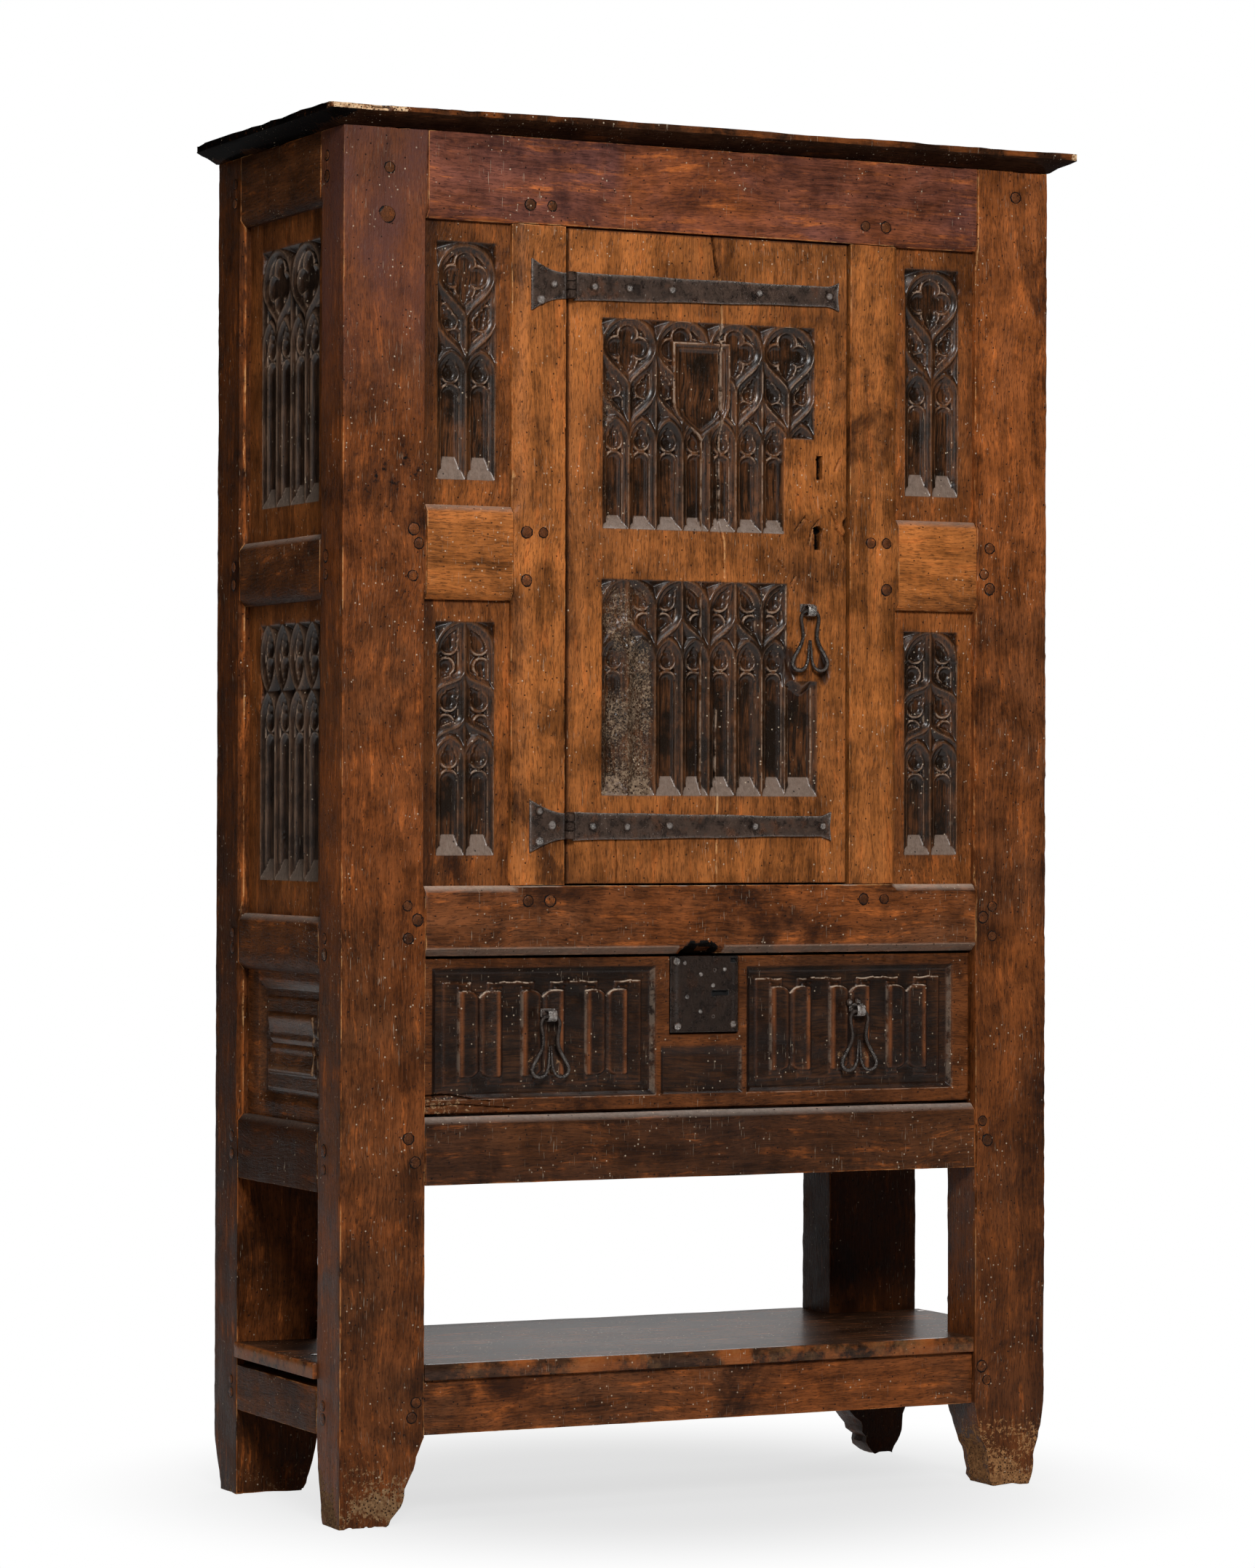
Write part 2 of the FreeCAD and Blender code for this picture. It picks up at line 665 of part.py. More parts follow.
# Chamfers along the drawer opening: under the middle rail, on top of the drawer rail
drawer_span = ("opening_left", "opening_right")
under_middle = frustum(
    "middle_rail_chamfer", "y", ("front_face", "drawer_face"),
    (drawer_span, ("drawer_opening_top - overrun", "drawer_opening_top + light_chamfer + overrun")),
    (drawer_span, ("drawer_opening_top - overrun", "drawer_opening_top")))
over_drawer_rail = frustum(
    "drawer_rail_chamfer", "y", ("front_face", "drawer_face"),
    (drawer_span, ("drawer_rail_top - light_chamfer", "drawer_rail_top + overrun")),
    (drawer_span, ("drawer_rail_top", "drawer_rail_top + overrun")))
removed["middle_rail_front"].append(under_middle)
removed["drawer_rail_front"].append(over_drawer_rail)

# Shelf board, notched round the posts, nailed down at two corners
blank("shelf_board", ("left_face - shelf_end_projection", "right_face + shelf_end_projection"),
      ("front_face", "rear_face"), ("stretcher_top", "shelf_top"))
for post in posts:
    removed["shelf_board"].append(blanks[post])

# Cupboard floor on the side middle rails, cut round the posts
blank("cupboard_floor",
      ("left_face + panel_setback + panel_thickness + floor_clearance",
       "right_face - panel_setback - panel_thickness - floor_clearance"),
      ("rail_back", "rear_face - panel_setback - back_board_thickness"),
      ("side_middle_rail_top", "side_middle_rail_top + floor_thickness"))
for post, (x, y) in posts.items():
    around = widened(x, "floor_clearance", "floor_clearance"), widened(y, "floor_clearance", "floor_clearance")
    notch = box(f"floor_notch_{post}", *around, ("side_middle_rail_top - overrun", "middle_rail_top"))
    removed["cupboard_floor"].append(notch)

# Drawer runners, from the drawer rail to the rear rail and the rear post
blank("drawer_runner_left", ("opening_left", "opening_left + runner_width"),
      ("rail_back", "rear_rail_front"), ("drawer_rail_top - runner_height", "drawer_rail_top"))
blank("drawer_runner_right", ("opening_right - runner_width", "opening_right"),
      ("rail_back", "side_rear"), ("drawer_rail_top - runner_height", "drawer_rail_top"))

# Back boards, set in grooves of the rear posts and rails
back_board_count = 5
back_boards = []
back_span = ("rear_left - panel_tongue", "rear_right + panel_tongue")
back_depth = ("rear_face - panel_setback - back_board_thickness", "rear_face - panel_setback")
back_height = ("drawer_rail_top - panel_tongue", "top_rail_bottom + panel_tongue")
for index in range(back_board_count):
    start = part_way(*back_span, index / back_board_count)
    end = part_way(*back_span, (index + 1) / back_board_count)
    gap = "back_board_gap" if index + 1 < back_board_count else "0"
    plank = box(f"back_board_{index + 1}", (start, f"{end} - {gap}"), back_depth, back_height)
    back_boards.append(plank)
back_groove = box("back_groove", back_span, back_depth, back_height)
for label in ("post_rear_left", "post_rear_right", "top_rail_rear", "bottom_rail_rear"):
    removed[label].append(back_groove)

# Top board: an under-bevel all round and a square edge above it
seat_x = ("left_face - top_seat_overhang", "right_face + top_seat_overhang")
seat_y = ("front_face - top_seat_overhang", "rear_face + top_seat_overhang")
edge_x = ("left_face - top_overhang", "right_face + top_overhang")
edge_y = ("front_face - top_overhang", "rear_face + top_overhang_rear")
bevel_top = "frame_height + top_bevel_height"
top_bevel = frustum("top_board_bevel", "z", ("frame_height", bevel_top), (seat_x, seat_y), (edge_x, edge_y))
top_slab = box("top_board_slab", edge_x, edge_y, (bevel_top, f"{bevel_top} + top_edge_height"))
keep("top_board", joined("top_board_whole", [top_bevel, top_slab]))

# Door of two planks, carved in two fields that run across their joint
door_depth = ("front_face", "door_back")
blank("door_plank_left", ("door_left", "door_joint"), door_depth, ("door_bottom", "door_top"))
blank("door_plank_right", ("door_joint", "door_right"), door_depth, ("door_bottom", "door_top"))
planks = ["door_plank_left", "door_plank_right"]
field_right = "keyhole_x - door_stile_margin"
lower_field = ("door_bottom + door_field_sill", "door_bottom + door_field_sill + door_field_height")
upper_field = (f"{lower_field[1]} + door_field_gap", f"{lower_field[1]} + door_field_gap + door_field_height")
for name, up in (("door_carving_lower", lower_field), ("door_carving_upper", upper_field)):
    carve(name, "front", "front_face", ("door_left + door_stile_margin", field_right), up, 7, planks)

# Keyholes: a plain slot above, a slot with a round top below
keyhole_x = ("keyhole_x - keyhole_width / 2", "keyhole_x + keyhole_width / 2")
for name, bottom in (("upper", "keyhole_height_upper"), ("lower", "keyhole_height_lower")):
    slot = box(f"keyhole_{name}", keyhole_x, door_depth, (bottom, f"{bottom} + keyhole_height"))
    removed["door_plank_right"].append(slot)
keyhole_round = rod("keyhole_round", "y", door_depth,
                    ("keyhole_x", "keyhole_height_lower + keyhole_height"), "keyhole_round_radius")
removed["door_plank_right"].append(keyhole_round)


# A nail driven in along +Y, its flat-topped head on a surface
def nail(name, surface, x, z):
    head = rod(name + "_head", "y", (f"{surface} - nail_head_height", surface), (x, z), "nail_head_radius")
    shank = rod(name + "_shank", "y", (surface, f"{surface} + nail_shank_length"), (x, z), "nail_shank_radius")
    return joined(name, [head, shank]), shank


# Hinges: a plate on the muntin, a strap on the door and a pin through their knuckles
hinge_plates = []
hinge_pins = []
frame_nails = []
strap_nails = []
third = "knuckle_height / 3"
for name, level in (("lower", "hinge_height_low"), ("upper", "hinge_height_high")):
    plate_x = ("hinge_axis_x - knuckle_radius - hinge_plate_width", "hinge_axis_x - knuckle_radius")
    plate_z = (f"{level} - hinge_plate_height / 2", f"{level} + hinge_plate_height / 2")
    plate_y = ("front_face - hinge_plate_thickness", "front_face")
    plate = box(f"hinge_plate_{name}_blank", plate_x, plate_y, plate_z)
    waist = "(hinge_plate_height - knuckle_height) / 2"
    scoops = [rod(f"hinge_plate_{name}_scoop_{index}", "y", plate_y, (plate_x[1], z), waist)
              for index, z in enumerate(plate_z)]
    bottom = f"{level} - knuckle_height / 2"
    top = f"{level} + knuckle_height / 2"
    bottom_knuckle = (bottom, f"{bottom} + {third} - knuckle_gap")
    top_knuckle = (f"{top} - {third} + knuckle_gap", top)
    middle_knuckle = (f"{bottom} + {third}", f"{top} - {third}")
    axis = ("hinge_axis_x", "hinge_axis_y")
    solids = [trimmed(f"hinge_plate_{name}_flared", plate, scoops)]
    for index, z in enumerate((bottom_knuckle, top_knuckle)):
        leaf = box(f"hinge_plate_{name}_leaf_{index}", (plate_x[1], "hinge_axis_x"), plate_y, z)
        solids += [leaf, rod(f"hinge_plate_{name}_knuckle_{index}", "z", z, axis, "knuckle_radius")]
    bore = rod(f"hinge_bore_{name}", "z", (bottom, top), axis, "hinge_pin_radius + hinge_pin_clearance")
    whole = trimmed(f"hinge_plate_{name}_bored", joined(f"hinge_plate_{name}_whole", solids), [bore])
    shanks = []
    for index, (across, up) in enumerate(plate_nail_shares):
        x, z = part_way(*plate_x, across), part_way(*plate_z, up)
        pin, shank = nail(f"plate_nail_{name}_{index}", plate_y[0], x, z)
        frame_nails.append(pin)
        shanks.append(shank)
    removed["muntin_left"] += shanks
    hinge_plates.append(trimmed(f"hinge_plate_{name}", whole, shanks))

    shaft = rod(f"hinge_pin_{name}_shaft", "z", (bottom, top), axis, "hinge_pin_radius")
    cap = rod(f"hinge_pin_{name}_cap", "z", (top, f"{top} + hinge_pin_head"), axis, "knuckle_radius")
    hinge_pins.append(joined(f"hinge_pin_{name}", [shaft, cap]))

    strap_y = ("front_face - strap_thickness", "front_face")
    tail = "strap_root + strap_length - strap_end_length"
    root_z = (f"{level} - strap_root_height / 2", f"{level} + strap_root_height / 2")
    tail_z = (f"{level} - strap_tail_height * {strap_tail_drop_share}",
              f"{level} + strap_tail_height * {1 - strap_tail_drop_share}")
    flare = "(strap_end_height - strap_tail_height) / 2"
    end_z = (f"{tail_z[0]} - {flare}", f"{tail_z[1]} + {flare}")
    blade = frustum(f"strap_{name}_blade", "x", ("strap_root", tail), (strap_y, root_z), (strap_y, tail_z))
    fishtail = frustum(f"strap_{name}_end", "x", (tail, "strap_root + strap_length"),
                       (strap_y, tail_z), (strap_y, end_z))
    leaf = box(f"strap_{name}_leaf", ("hinge_axis_x", "strap_root"), strap_y, middle_knuckle)
    knuckle = rod(f"strap_{name}_knuckle", "z", middle_knuckle, axis, "knuckle_radius")
    strap = trimmed(f"strap_{name}_bored", joined(f"strap_{name}_whole", [blade, fishtail, leaf, knuckle]), [bore])
    shanks = []
    for index, share in enumerate(door_nail_shares):
        x = f"strap_root + {share} * strap_length"
        pin, shank = nail(f"strap_nail_{name}_{index}", strap_y[0], x, part_way(*root_z, 1 / 2))
        strap_nails.append(pin)
        shanks.append(shank)
    for label in planks:
        removed[label] += shanks
    keep(f"door_strap_{name}", trimmed(f"strap_{name}_drilled", strap, shanks))

# Nails through the shelf into the side stretchers
for index, (across, deep) in enumerate(shelf_nail_shares):
    x = part_way("left_face", "right_face", across)
    y = part_way("side_front", "side_rear", deep)
    head = rod(f"shelf_nail_{index}_head", "z", ("shelf_top", "shelf_top + nail_head_height"), (x, y),
               "nail_head_radius")
    shank = rod(f"shelf_nail_{index}_shank", "z", ("stretcher_top", "shelf_top"), (x, y), "nail_shank_radius")
    removed["shelf_board"].append(shank)
    frame_nails.append(joined(f"shelf_nail_{index}", [head, shank]))

# Door lock: a case on the back of the door, its bolt thrown into the right muntin
case_x = ("door_right - lock_case_edge_distance - lock_case_width", "door_right - lock_case_edge_distance")
case_y = ("door_back", "door_back + lock_case_thickness")
case_centre = "keyhole_height_lower + keyhole_height / 2"
case_z = (f"{case_centre} - lock_case_height / 2", f"{case_centre} + lock_case_height / 2")
bolt_x = ("door_right - bolt_clearance - bolt_length", "door_right - bolt_clearance")
bolt_y = ("door_back + bolt_seat", "door_back + bolt_seat + bolt_thickness")
bolt_z = (f"{case_centre} - bolt_width / 2", f"{case_centre} + bolt_width / 2")


def eased(span):
    return (f"{span[0]} - bolt_clearance", f"{span[1]} + bolt_clearance")


lock_case = box("door_lock_case_blank", case_x, case_y, case_z)
bolt_way = box("door_bolt_way", (f"{bolt_x[0]} - bolt_clearance", "door_right"), eased(bolt_y), eased(bolt_z))
keep("door_lock_case", trimmed("door_lock_case_cut", lock_case, [bolt_way]))
keep("door_lock_bolt", box("door_lock_bolt_bar", bolt_x, bolt_y, bolt_z))
bolt_keep = box("door_bolt_keep", ("door_opening_right", "door_opening_right + bolt_travel + bolt_clearance"),
                eased(bolt_y), eased(bolt_z))
removed["muntin_right"].append(bolt_keep)


# A staple with a tunnel along X, standing on a face of the door or drawer
def staple(name, x, surface, z):
    across = (f"{x} - staple_width / 2", f"{x} + staple_width / 2")
    base = f"{z} - handle_wire_radius - handle_clearance - staple_band"
    body = box(name + "_band", across, (f"{surface} - staple_proud", surface), (base, f"{base} + staple_height"))
    tunnel = box(name + "_tunnel", across, (f"{surface} - staple_proud + staple_band", surface),
                 (f"{base} + staple_band", f"{base} + staple_height - staple_band"))
    return trimmed(name, body, [tunnel])


# A drop handle bent from round wire: its top bar turns in the staple, its ends meet in a spike
def drop_handle(label, x, surface, z):
    radius = number("handle_wire_radius")
    stand_off = number("staple_proud") - number("staple_band") - radius - number("handle_clearance")
    spread = number("handle_spread")
    length = number("handle_length") - 2 * radius
    top_half = number("staple_width") / 2 + radius + number("handle_clearance")
    top = FreeCAD.Vector(number(x), number(surface) - stand_off, number(z))
    solids = []
    for side in (1, -1):
        points = [top, top + FreeCAD.Vector(side * top_half, 0, 0)]
        for across, down in handle_wire_shares:
            points.append(top + FreeCAD.Vector(side * across * spread, 0, -down * length))
        for start, end in zip(points, points[1:]):
            run = end - start
            solids.append(Part.makeCylinder(radius, run.Length, start, run))
        for point in points[1:]:
            solids.append(Part.makeSphere(radius * handle_joint_share, point))
    wire = doc.addObject("Part::Feature", label + "_wire")
    wire.Shape = solids[0].multiFuse(solids[1:])
    wire.Placement = FreeCAD.Placement()
    keep(label, wire)


keep("door_handle_staple", staple("door_staple", "door_handle_x", "front_face", "door_handle_height"))
drop_handle("door_handle", "door_handle_x", "front_face", "door_handle_height")
group("drawer_staples", [staple(f"drawer_staple_{side}", f"drawer_handle_{side}_x", "drawer_face",
                                "drawer_handle_height") for side in ("left", "right")])
for side in ("left", "right"):
    drop_handle(f"drawer_handle_{side}", f"drawer_handle_{side}_x", "drawer_face", "drawer_handle_height")

# Drawer: a carved front, two sides, a back and a bottom board nailed on from below
blank("drawer_front", ("drawer_left", "drawer_right"), ("drawer_face", "drawer_front_back"),
      ("drawer_rail_top + drawer_gap", "drawer_front_top"))
drawer_fields = {
    "left": ("drawer_left + drawer_field_margin", "drawer_left + drawer_field_margin + drawer_field_width"),
    "right": ("drawer_right - drawer_field_margin - drawer_field_width", "drawer_right - drawer_field_margin"),
}
field_z = ("drawer_rail_top + drawer_gap + drawer_field_margin", "drawer_front_top - drawer_field_margin")
for side, x in drawer_fields.items():
    edges = [0] + [share for fold in linen_fold_shares for share in fold] + [1]
    for index in range(0, len(edges), 2):
        ground = (part_way(*x, edges[index]), part_way(*x, edges[index + 1]))
        name = f"drawer_ground_{side}_{index // 2}"
        removed["drawer_front"].append(sunk(name, "front", "drawer_face", "linen_depth", ground, field_z))
side_height = ("drawer_floor", "drawer_floor + drawer_side_height")
inner_left = "drawer_left + drawer_side_thickness"
inner_right = "drawer_right - drawer_side_thickness"
group("drawer_sides", [
    box("drawer_side_left", ("drawer_left", inner_left), ("drawer_front_back", "drawer_end"), side_height),
    box("drawer_side_right", (inner_right, "drawer_right"), ("drawer_front_back", "drawer_end"), side_height),
])
keep("drawer_back", box("drawer_back_board", (inner_left, inner_right),
                        ("drawer_end - drawer_side_thickness", "drawer_end"), side_height))
keep("drawer_bottom", box("drawer_bottom_board", ("drawer_left", "drawer_right"),
                          ("drawer_front_back", "drawer_end"), ("drawer_base", "drawer_floor")))

# Drawer lock: a plate with its case let into the front, a bolt thrown up into the middle rail
plate_x = ("lock_plate_x - lock_plate_width / 2", "lock_plate_x + lock_plate_width / 2")
plate_z = ("drawer_front_top - lock_plate_height", "drawer_front_top")
plate = box("drawer_lock_face", plate_x, ("drawer_face - lock_plate_thickness", "drawer_face"), plate_z)
case = box("drawer_lock_case", (f"{plate_x[0]} + drawer_lock_inset", f"{plate_x[1]} - drawer_lock_inset"),
           ("drawer_face", "drawer_face + drawer_lock_depth"),
           (f"{plate_z[0]} + drawer_lock_inset", f"{plate_z[1]} - drawer_lock_inset"))
drawer_bolt_x = ("lock_plate_x - bolt_width / 2", "lock_plate_x + bolt_width / 2")
drawer_bolt_y = ("drawer_face + bolt_seat", "drawer_face + bolt_seat + bolt_thickness")
drawer_bolt_z = ("drawer_front_top - bolt_clearance - bolt_length", "drawer_front_top - bolt_clearance")
drawer_bolt_way = box("drawer_bolt_way", eased(drawer_bolt_x), eased(drawer_bolt_y),
                      (f"{drawer_bolt_z[0]} - bolt_clearance", "drawer_front_top"))
keyway = box("drawer_keyhole", ("lock_plate_x + bolt_width / 2 + bolt_seat", "lock_plate_x + bolt_width / 2"
             " + bolt_seat + keyhole_height / 2"), ("drawer_face - lock_plate_thickness", "drawer_face"),
             (f"{part_way(*plate_z, 1 / 2)} - keyhole_width / 2", f"{part_way(*plate_z, 1 / 2)} + keyhole_width / 2"))
removed["drawer_front"] += [case, drawer_bolt_way]
keep("drawer_lock_plate", trimmed("drawer_lock_cut", joined("drawer_lock_whole", [plate, case]),
                                  [drawer_bolt_way, keyway]))
keep("drawer_lock_bolt", box("drawer_lock_bolt_bar", drawer_bolt_x, drawer_bolt_y, drawer_bolt_z))
drawer_bolt_keep = box("drawer_bolt_keep", eased(drawer_bolt_x), eased(drawer_bolt_y),
                       ("drawer_opening_top", "drawer_opening_top + bolt_travel + bolt_clearance"))
removed["middle_rail_front"].append(drawer_bolt_keep)

# Each worked piece becomes a node, some pairs share one
shared = ("cross_rail", "side_stretcher", "drawer_runner")
for kind in shared:
    group(kind + "s", [worked(f"{kind}_{side}") for side in ("left", "right")])
for label in blanks:
    if not label.startswith(shared):
        keep(label, worked(label))
group("back_boards", back_boards)
group("frame_pegs", pegs)
group("hinge_plates", hinge_plates)
group("hinge_pins", hinge_pins)
group("frame_nails", frame_nails)
group("strap_nails", strap_nails)

doc.recompute()
for item in doc.Objects:
    if "Invalid" in item.State or "Error" in item.State:
        raise RuntimeError(f"{item.Name} failed: {item.State}")
for item in sub_parts:
    if item.Shape.isNull() or not item.Shape.isValid():
        raise RuntimeError(f"{item.Label} has no valid shape")

os.makedirs("parts", exist_ok=True)
for item in sub_parts:
    item.Shape.exportStep(f"parts/{item.Label}.step")
print(len(sub_parts), "sub-parts written")
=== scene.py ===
import math
import bmesh
import bpy
import numpy as np
from mathutils import Matrix, Vector
from numpy import clip, exp, hypot, maximum, minimum, where


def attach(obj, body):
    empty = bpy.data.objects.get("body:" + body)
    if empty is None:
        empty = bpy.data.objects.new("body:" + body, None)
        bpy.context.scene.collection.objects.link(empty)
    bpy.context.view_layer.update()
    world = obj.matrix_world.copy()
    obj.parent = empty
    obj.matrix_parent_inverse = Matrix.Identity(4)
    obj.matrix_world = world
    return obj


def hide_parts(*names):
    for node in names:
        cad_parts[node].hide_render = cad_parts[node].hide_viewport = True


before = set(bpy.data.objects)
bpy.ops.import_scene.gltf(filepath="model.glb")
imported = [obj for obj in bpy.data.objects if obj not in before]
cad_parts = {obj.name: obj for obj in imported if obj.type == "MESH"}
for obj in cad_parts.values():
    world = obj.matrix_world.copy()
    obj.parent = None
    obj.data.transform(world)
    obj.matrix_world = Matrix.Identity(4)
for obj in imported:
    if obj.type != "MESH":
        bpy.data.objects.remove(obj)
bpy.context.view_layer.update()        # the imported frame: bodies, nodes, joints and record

# Lengths are written in millimetres and turned into metres where a mesh is made
mm = 0.001

# Small helpers: noise, meshes and their attributes

def hashed(ix, iy, iz, seed):
    h = (ix * 73856093) ^ (iy * 19349663) ^ (iz * 83492791) ^ (seed * 40503 + 12345)
    h = h & 0xffffffff
    h = ((h ^ (h >> 15)) * 2246822519) & 0xffffffff
    h = ((h ^ (h >> 13)) * 3266489917) & 0xffffffff
    return ((h ^ (h >> 16)) & 0xffff) / 65535.0


# Smooth noise from -1 to 1; cell is the size of one swell along each axis
def swell(points, cell, seed=0):
    q = np.asarray(points, float) / np.asarray(cell, float)
    base = np.floor(q).astype(np.int64)
    f = q - base
    f = f * f * (3 - 2 * f)
    total = np.zeros(q.shape[:-1])
    for i in (0, 1):
        for j in (0, 1):
            for k in (0, 1):
                weight = (f[..., 0] if i else 1 - f[..., 0]) * (f[..., 1] if j else 1 - f[..., 1])
                weight = weight * (f[..., 2] if k else 1 - f[..., 2])
                total += weight * hashed(base[..., 0] + i, base[..., 1] + j, base[..., 2] + k, seed)
    return 2 * total - 1


def rough(points, cell, seed=0, octaves=3):
    total, size = np.zeros(np.shape(points)[:-1]), 1.0
    for step in range(octaves):
        total += size * swell(points, np.asarray(cell, float) / 2 ** step, seed + 17 * step)
        size *= 0.55
    return total


# The points of a board's face, moved along by a distance so that boards differ
def facePoints(across, up, away, level=0):
    return np.stack([across + away, up + away, np.full(across.shape, float(level))], axis=-1)


def lowest(first, *others):
    for other in others:
        first = minimum(first, other)
    return first


def highest(first, *others):
    for other in others:
        first = maximum(first, other)
    return first


# How far inside a rectangle each spot lies
def rimOf(across, up, left, right, bottom, top):
    return lowest(across - left, right - across, up - bottom, top - up)


def bounded(values):
    return clip(values, 0, 1)


# 1 at a middle value, fading away on both sides of it
def about(values, middle, half):
    return exp(-((values - middle) / half) ** 2)


def cleared():
    if bpy.context.mode != "OBJECT":
        bpy.ops.object.mode_set(mode="OBJECT")
    bpy.ops.object.select_all(action="DESELECT")


def pick(piece):
    cleared()
    piece.select_set(True)
    bpy.context.view_layer.objects.active = piece


# Opens a piece in edit mode with all of it selected
def opened(piece):
    pick(piece)
    bpy.ops.object.mode_set(mode="EDIT")
    bpy.ops.mesh.select_all(action="SELECT")


def closed():
    bpy.ops.object.mode_set(mode="OBJECT")


def asArrays(low, high):
    return np.array(low, float), np.array(high, float)


def boxBetween(low, high):
    cleared()
    bpy.ops.mesh.primitive_cube_add(size=1, location=(low + high) / 2 * mm, scale=(high - low) * mm)
    bpy.ops.object.transform_apply(location=True, rotation=True, scale=True)
    return bpy.context.object


def pointsOf(piece):
    co = np.empty(len(piece.data.vertices) * 3, np.float32)
    piece.data.vertices.foreach_get("co", co)
    return co.reshape(-1, 3).astype(float) / mm


def setPoints(piece, co):
    piece.data.vertices.foreach_set("co", (np.asarray(co) * mm).astype(np.float32).ravel())
    piece.data.update()


# Gives a piece one value, or a value at each vertex, that its finish reads
def setValues(piece, **values):
    for name, data in values.items():
        layer = piece.data.attributes.get(name) or piece.data.attributes.new(name, "FLOAT", "POINT")
        layer.data.foreach_set("value", np.full(len(piece.data.vertices), data, np.float32))


def valuesOf(piece, name):
    data = np.zeros(len(piece.data.vertices), np.float32)
    layer = piece.data.attributes.get(name)
    if layer:
        layer.data.foreach_get("value", data)
    return data.astype(float)


def dress(piece, material, body, *nodes, slot=None):
    piece.data.materials.clear()
    piece.data.materials.append(material)
    if nodes:
        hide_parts(*nodes)
    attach(piece, body)
    return piece


def joined(pieces, name):
    cleared()
    for piece in pieces:
        piece.select_set(True)
    bpy.context.view_layer.objects.active = pieces[0]
    if len(pieces) > 1:
        bpy.ops.object.join()
    pieces[0].name = pieces[0].data.name = name
    return pieces[0]


def smoothed(piece, degrees):
    pick(piece)
    bpy.ops.object.shade_smooth_by_angle(angle=math.radians(degrees))


def modified(piece, kind, **settings):
    pick(piece)
    modifier = piece.modifiers.new(kind.lower(), kind)
    for key, value in settings.items():
        setattr(modifier, key, value)
    bpy.ops.object.modifier_apply(modifier=modifier.name)


# Joins the parts of a piece, smooths them and gives them their finish and body
def finished(parts, name, angle, material, body, node):
    piece = joined(parts, name)
    smoothed(piece, angle)
    dress(piece, material, body, node)


# Cuts a box out of a piece, given by its lowest and highest corner
def cutOut(piece, low, high):
    cutter = boxBetween(*asArrays(low, high))
    modified(piece, "BOOLEAN", operation="DIFFERENCE", solver="EXACT", object=cutter)
    mesh = cutter.data
    bpy.data.objects.remove(cutter)
    bpy.data.meshes.remove(mesh)


# Camera, lamps and floor

viewer = {"place": (-2.4654, -5.0133, 0.7826), "yaw": 26.077, "pitch": 0.351, "roll": 0.183, "lens": 110.08}


def addCamera():
    yaw, pitch, roll = (math.radians(viewer[key]) for key in ("yaw", "pitch", "roll"))
    forward = Vector((math.sin(yaw) * math.cos(pitch), math.cos(yaw) * math.cos(pitch), math.sin(pitch)))
    level = Vector((math.cos(yaw), -math.sin(yaw), 0))
    lift = level.cross(forward)
    right = math.cos(roll) * level + math.sin(roll) * lift
    up = -math.sin(roll) * level + math.cos(roll) * lift
    lens = bpy.data.cameras.new("camera")
    lens.sensor_width = 36
    lens.lens = viewer["lens"]
    lens.clip_end = 60
    camera = bpy.data.objects.new("camera", lens)
    turn = Matrix((right, up, -forward)).transposed().to_4x4()
    camera.matrix_world = Matrix.Translation(viewer["place"]) @ turn
    bpy.context.scene.collection.objects.link(camera)
    bpy.context.scene.camera = camera


lamps = {
    "key": {"place": (-1.55, -4.4, 3.1), "size": (1.2, 1.2), "power": 205},
    "strip": {"place": (-2.9, -1.5, 1.5), "size": (0.12, 1.7), "power": 7},
    "top": {"place": (-0.75, -1.25, 3.5), "size": (0.7, 0.7), "power": 14},
    "roof": {"place": (1.5, -0.25, 3.9), "size": (2.4, 0.8), "power": 34},
    "rear": {"place": (2.3, 3.6, 2.6), "size": (2, 2), "power": 110},
    "aim": (0, -0.1, 0.95),
}


def addLamp(name):
    spec = lamps[name]
    light = bpy.data.lights.new(name, "AREA")
    light.shape = "RECTANGLE"
    light.size, light.size_y = spec["size"]
    light.energy = spec["power"]
    lamp = bpy.data.objects.new(name, light)
    place = Vector(spec["place"])
    turn = (Vector(lamps["aim"]) - place).to_track_quat("-Z", "Y").to_matrix().to_4x4()
    lamp.matrix_world = Matrix.Translation(place) @ turn
    bpy.context.scene.collection.objects.link(lamp)


room = {"ambient": 0.10, "floorTone": 0.36, "floorGlow": 0.71, "fadeFrom": 0.25, "fadeTo": 0.72,
    "clothTone": 0.02}


# 1 for a ray from the camera, off a gloss or through glass, 0 for the light that falls on the cupboard
def seenRays(tree):
    rays = tree.nodes.new("ShaderNodeLightPath")
    value = rays.outputs["Is Camera Ray"]
    for name in ("Is Glossy Ray", "Is Transmission Ray"):
        either = tree.nodes.new("ShaderNodeMath")
        either.operation = "MAXIMUM"
        tree.links.new(value, either.inputs[0])
        tree.links.new(rays.outputs[name], either.inputs[1])
        value = either.outputs[0]
    return value


def addWorld():
    world = bpy.data.worlds.new("room")
    bpy.context.scene.world = world
    world.use_nodes = True
    tree = world.node_tree
    strength = tree.nodes.new("ShaderNodeMapRange")
    strength.inputs["To Min"].default_value = room["ambient"]
    strength.inputs["To Max"].default_value = 1.0
    tree.links.new(seenRays(tree), strength.inputs["Value"])
    tree.links.new(strength.outputs["Result"], tree.nodes["Background"].inputs["Strength"])
    tree.nodes["Background"].inputs["Color"].default_value = (1, 1, 1, 1)


# An even, dull finish for what stands round the cupboard
def dull(name, shade, roughness):
    material = bpy.data.materials.new(name)
    material.use_nodes = True
    shader = material.node_tree.nodes["Principled BSDF"]
    shader.inputs["Base Color"].default_value = (shade,) * 3 + (1,)
    shader.inputs["Roughness"].default_value = roughness
    shader.inputs["Specular IOR Level"].default_value = 0.0
    return material


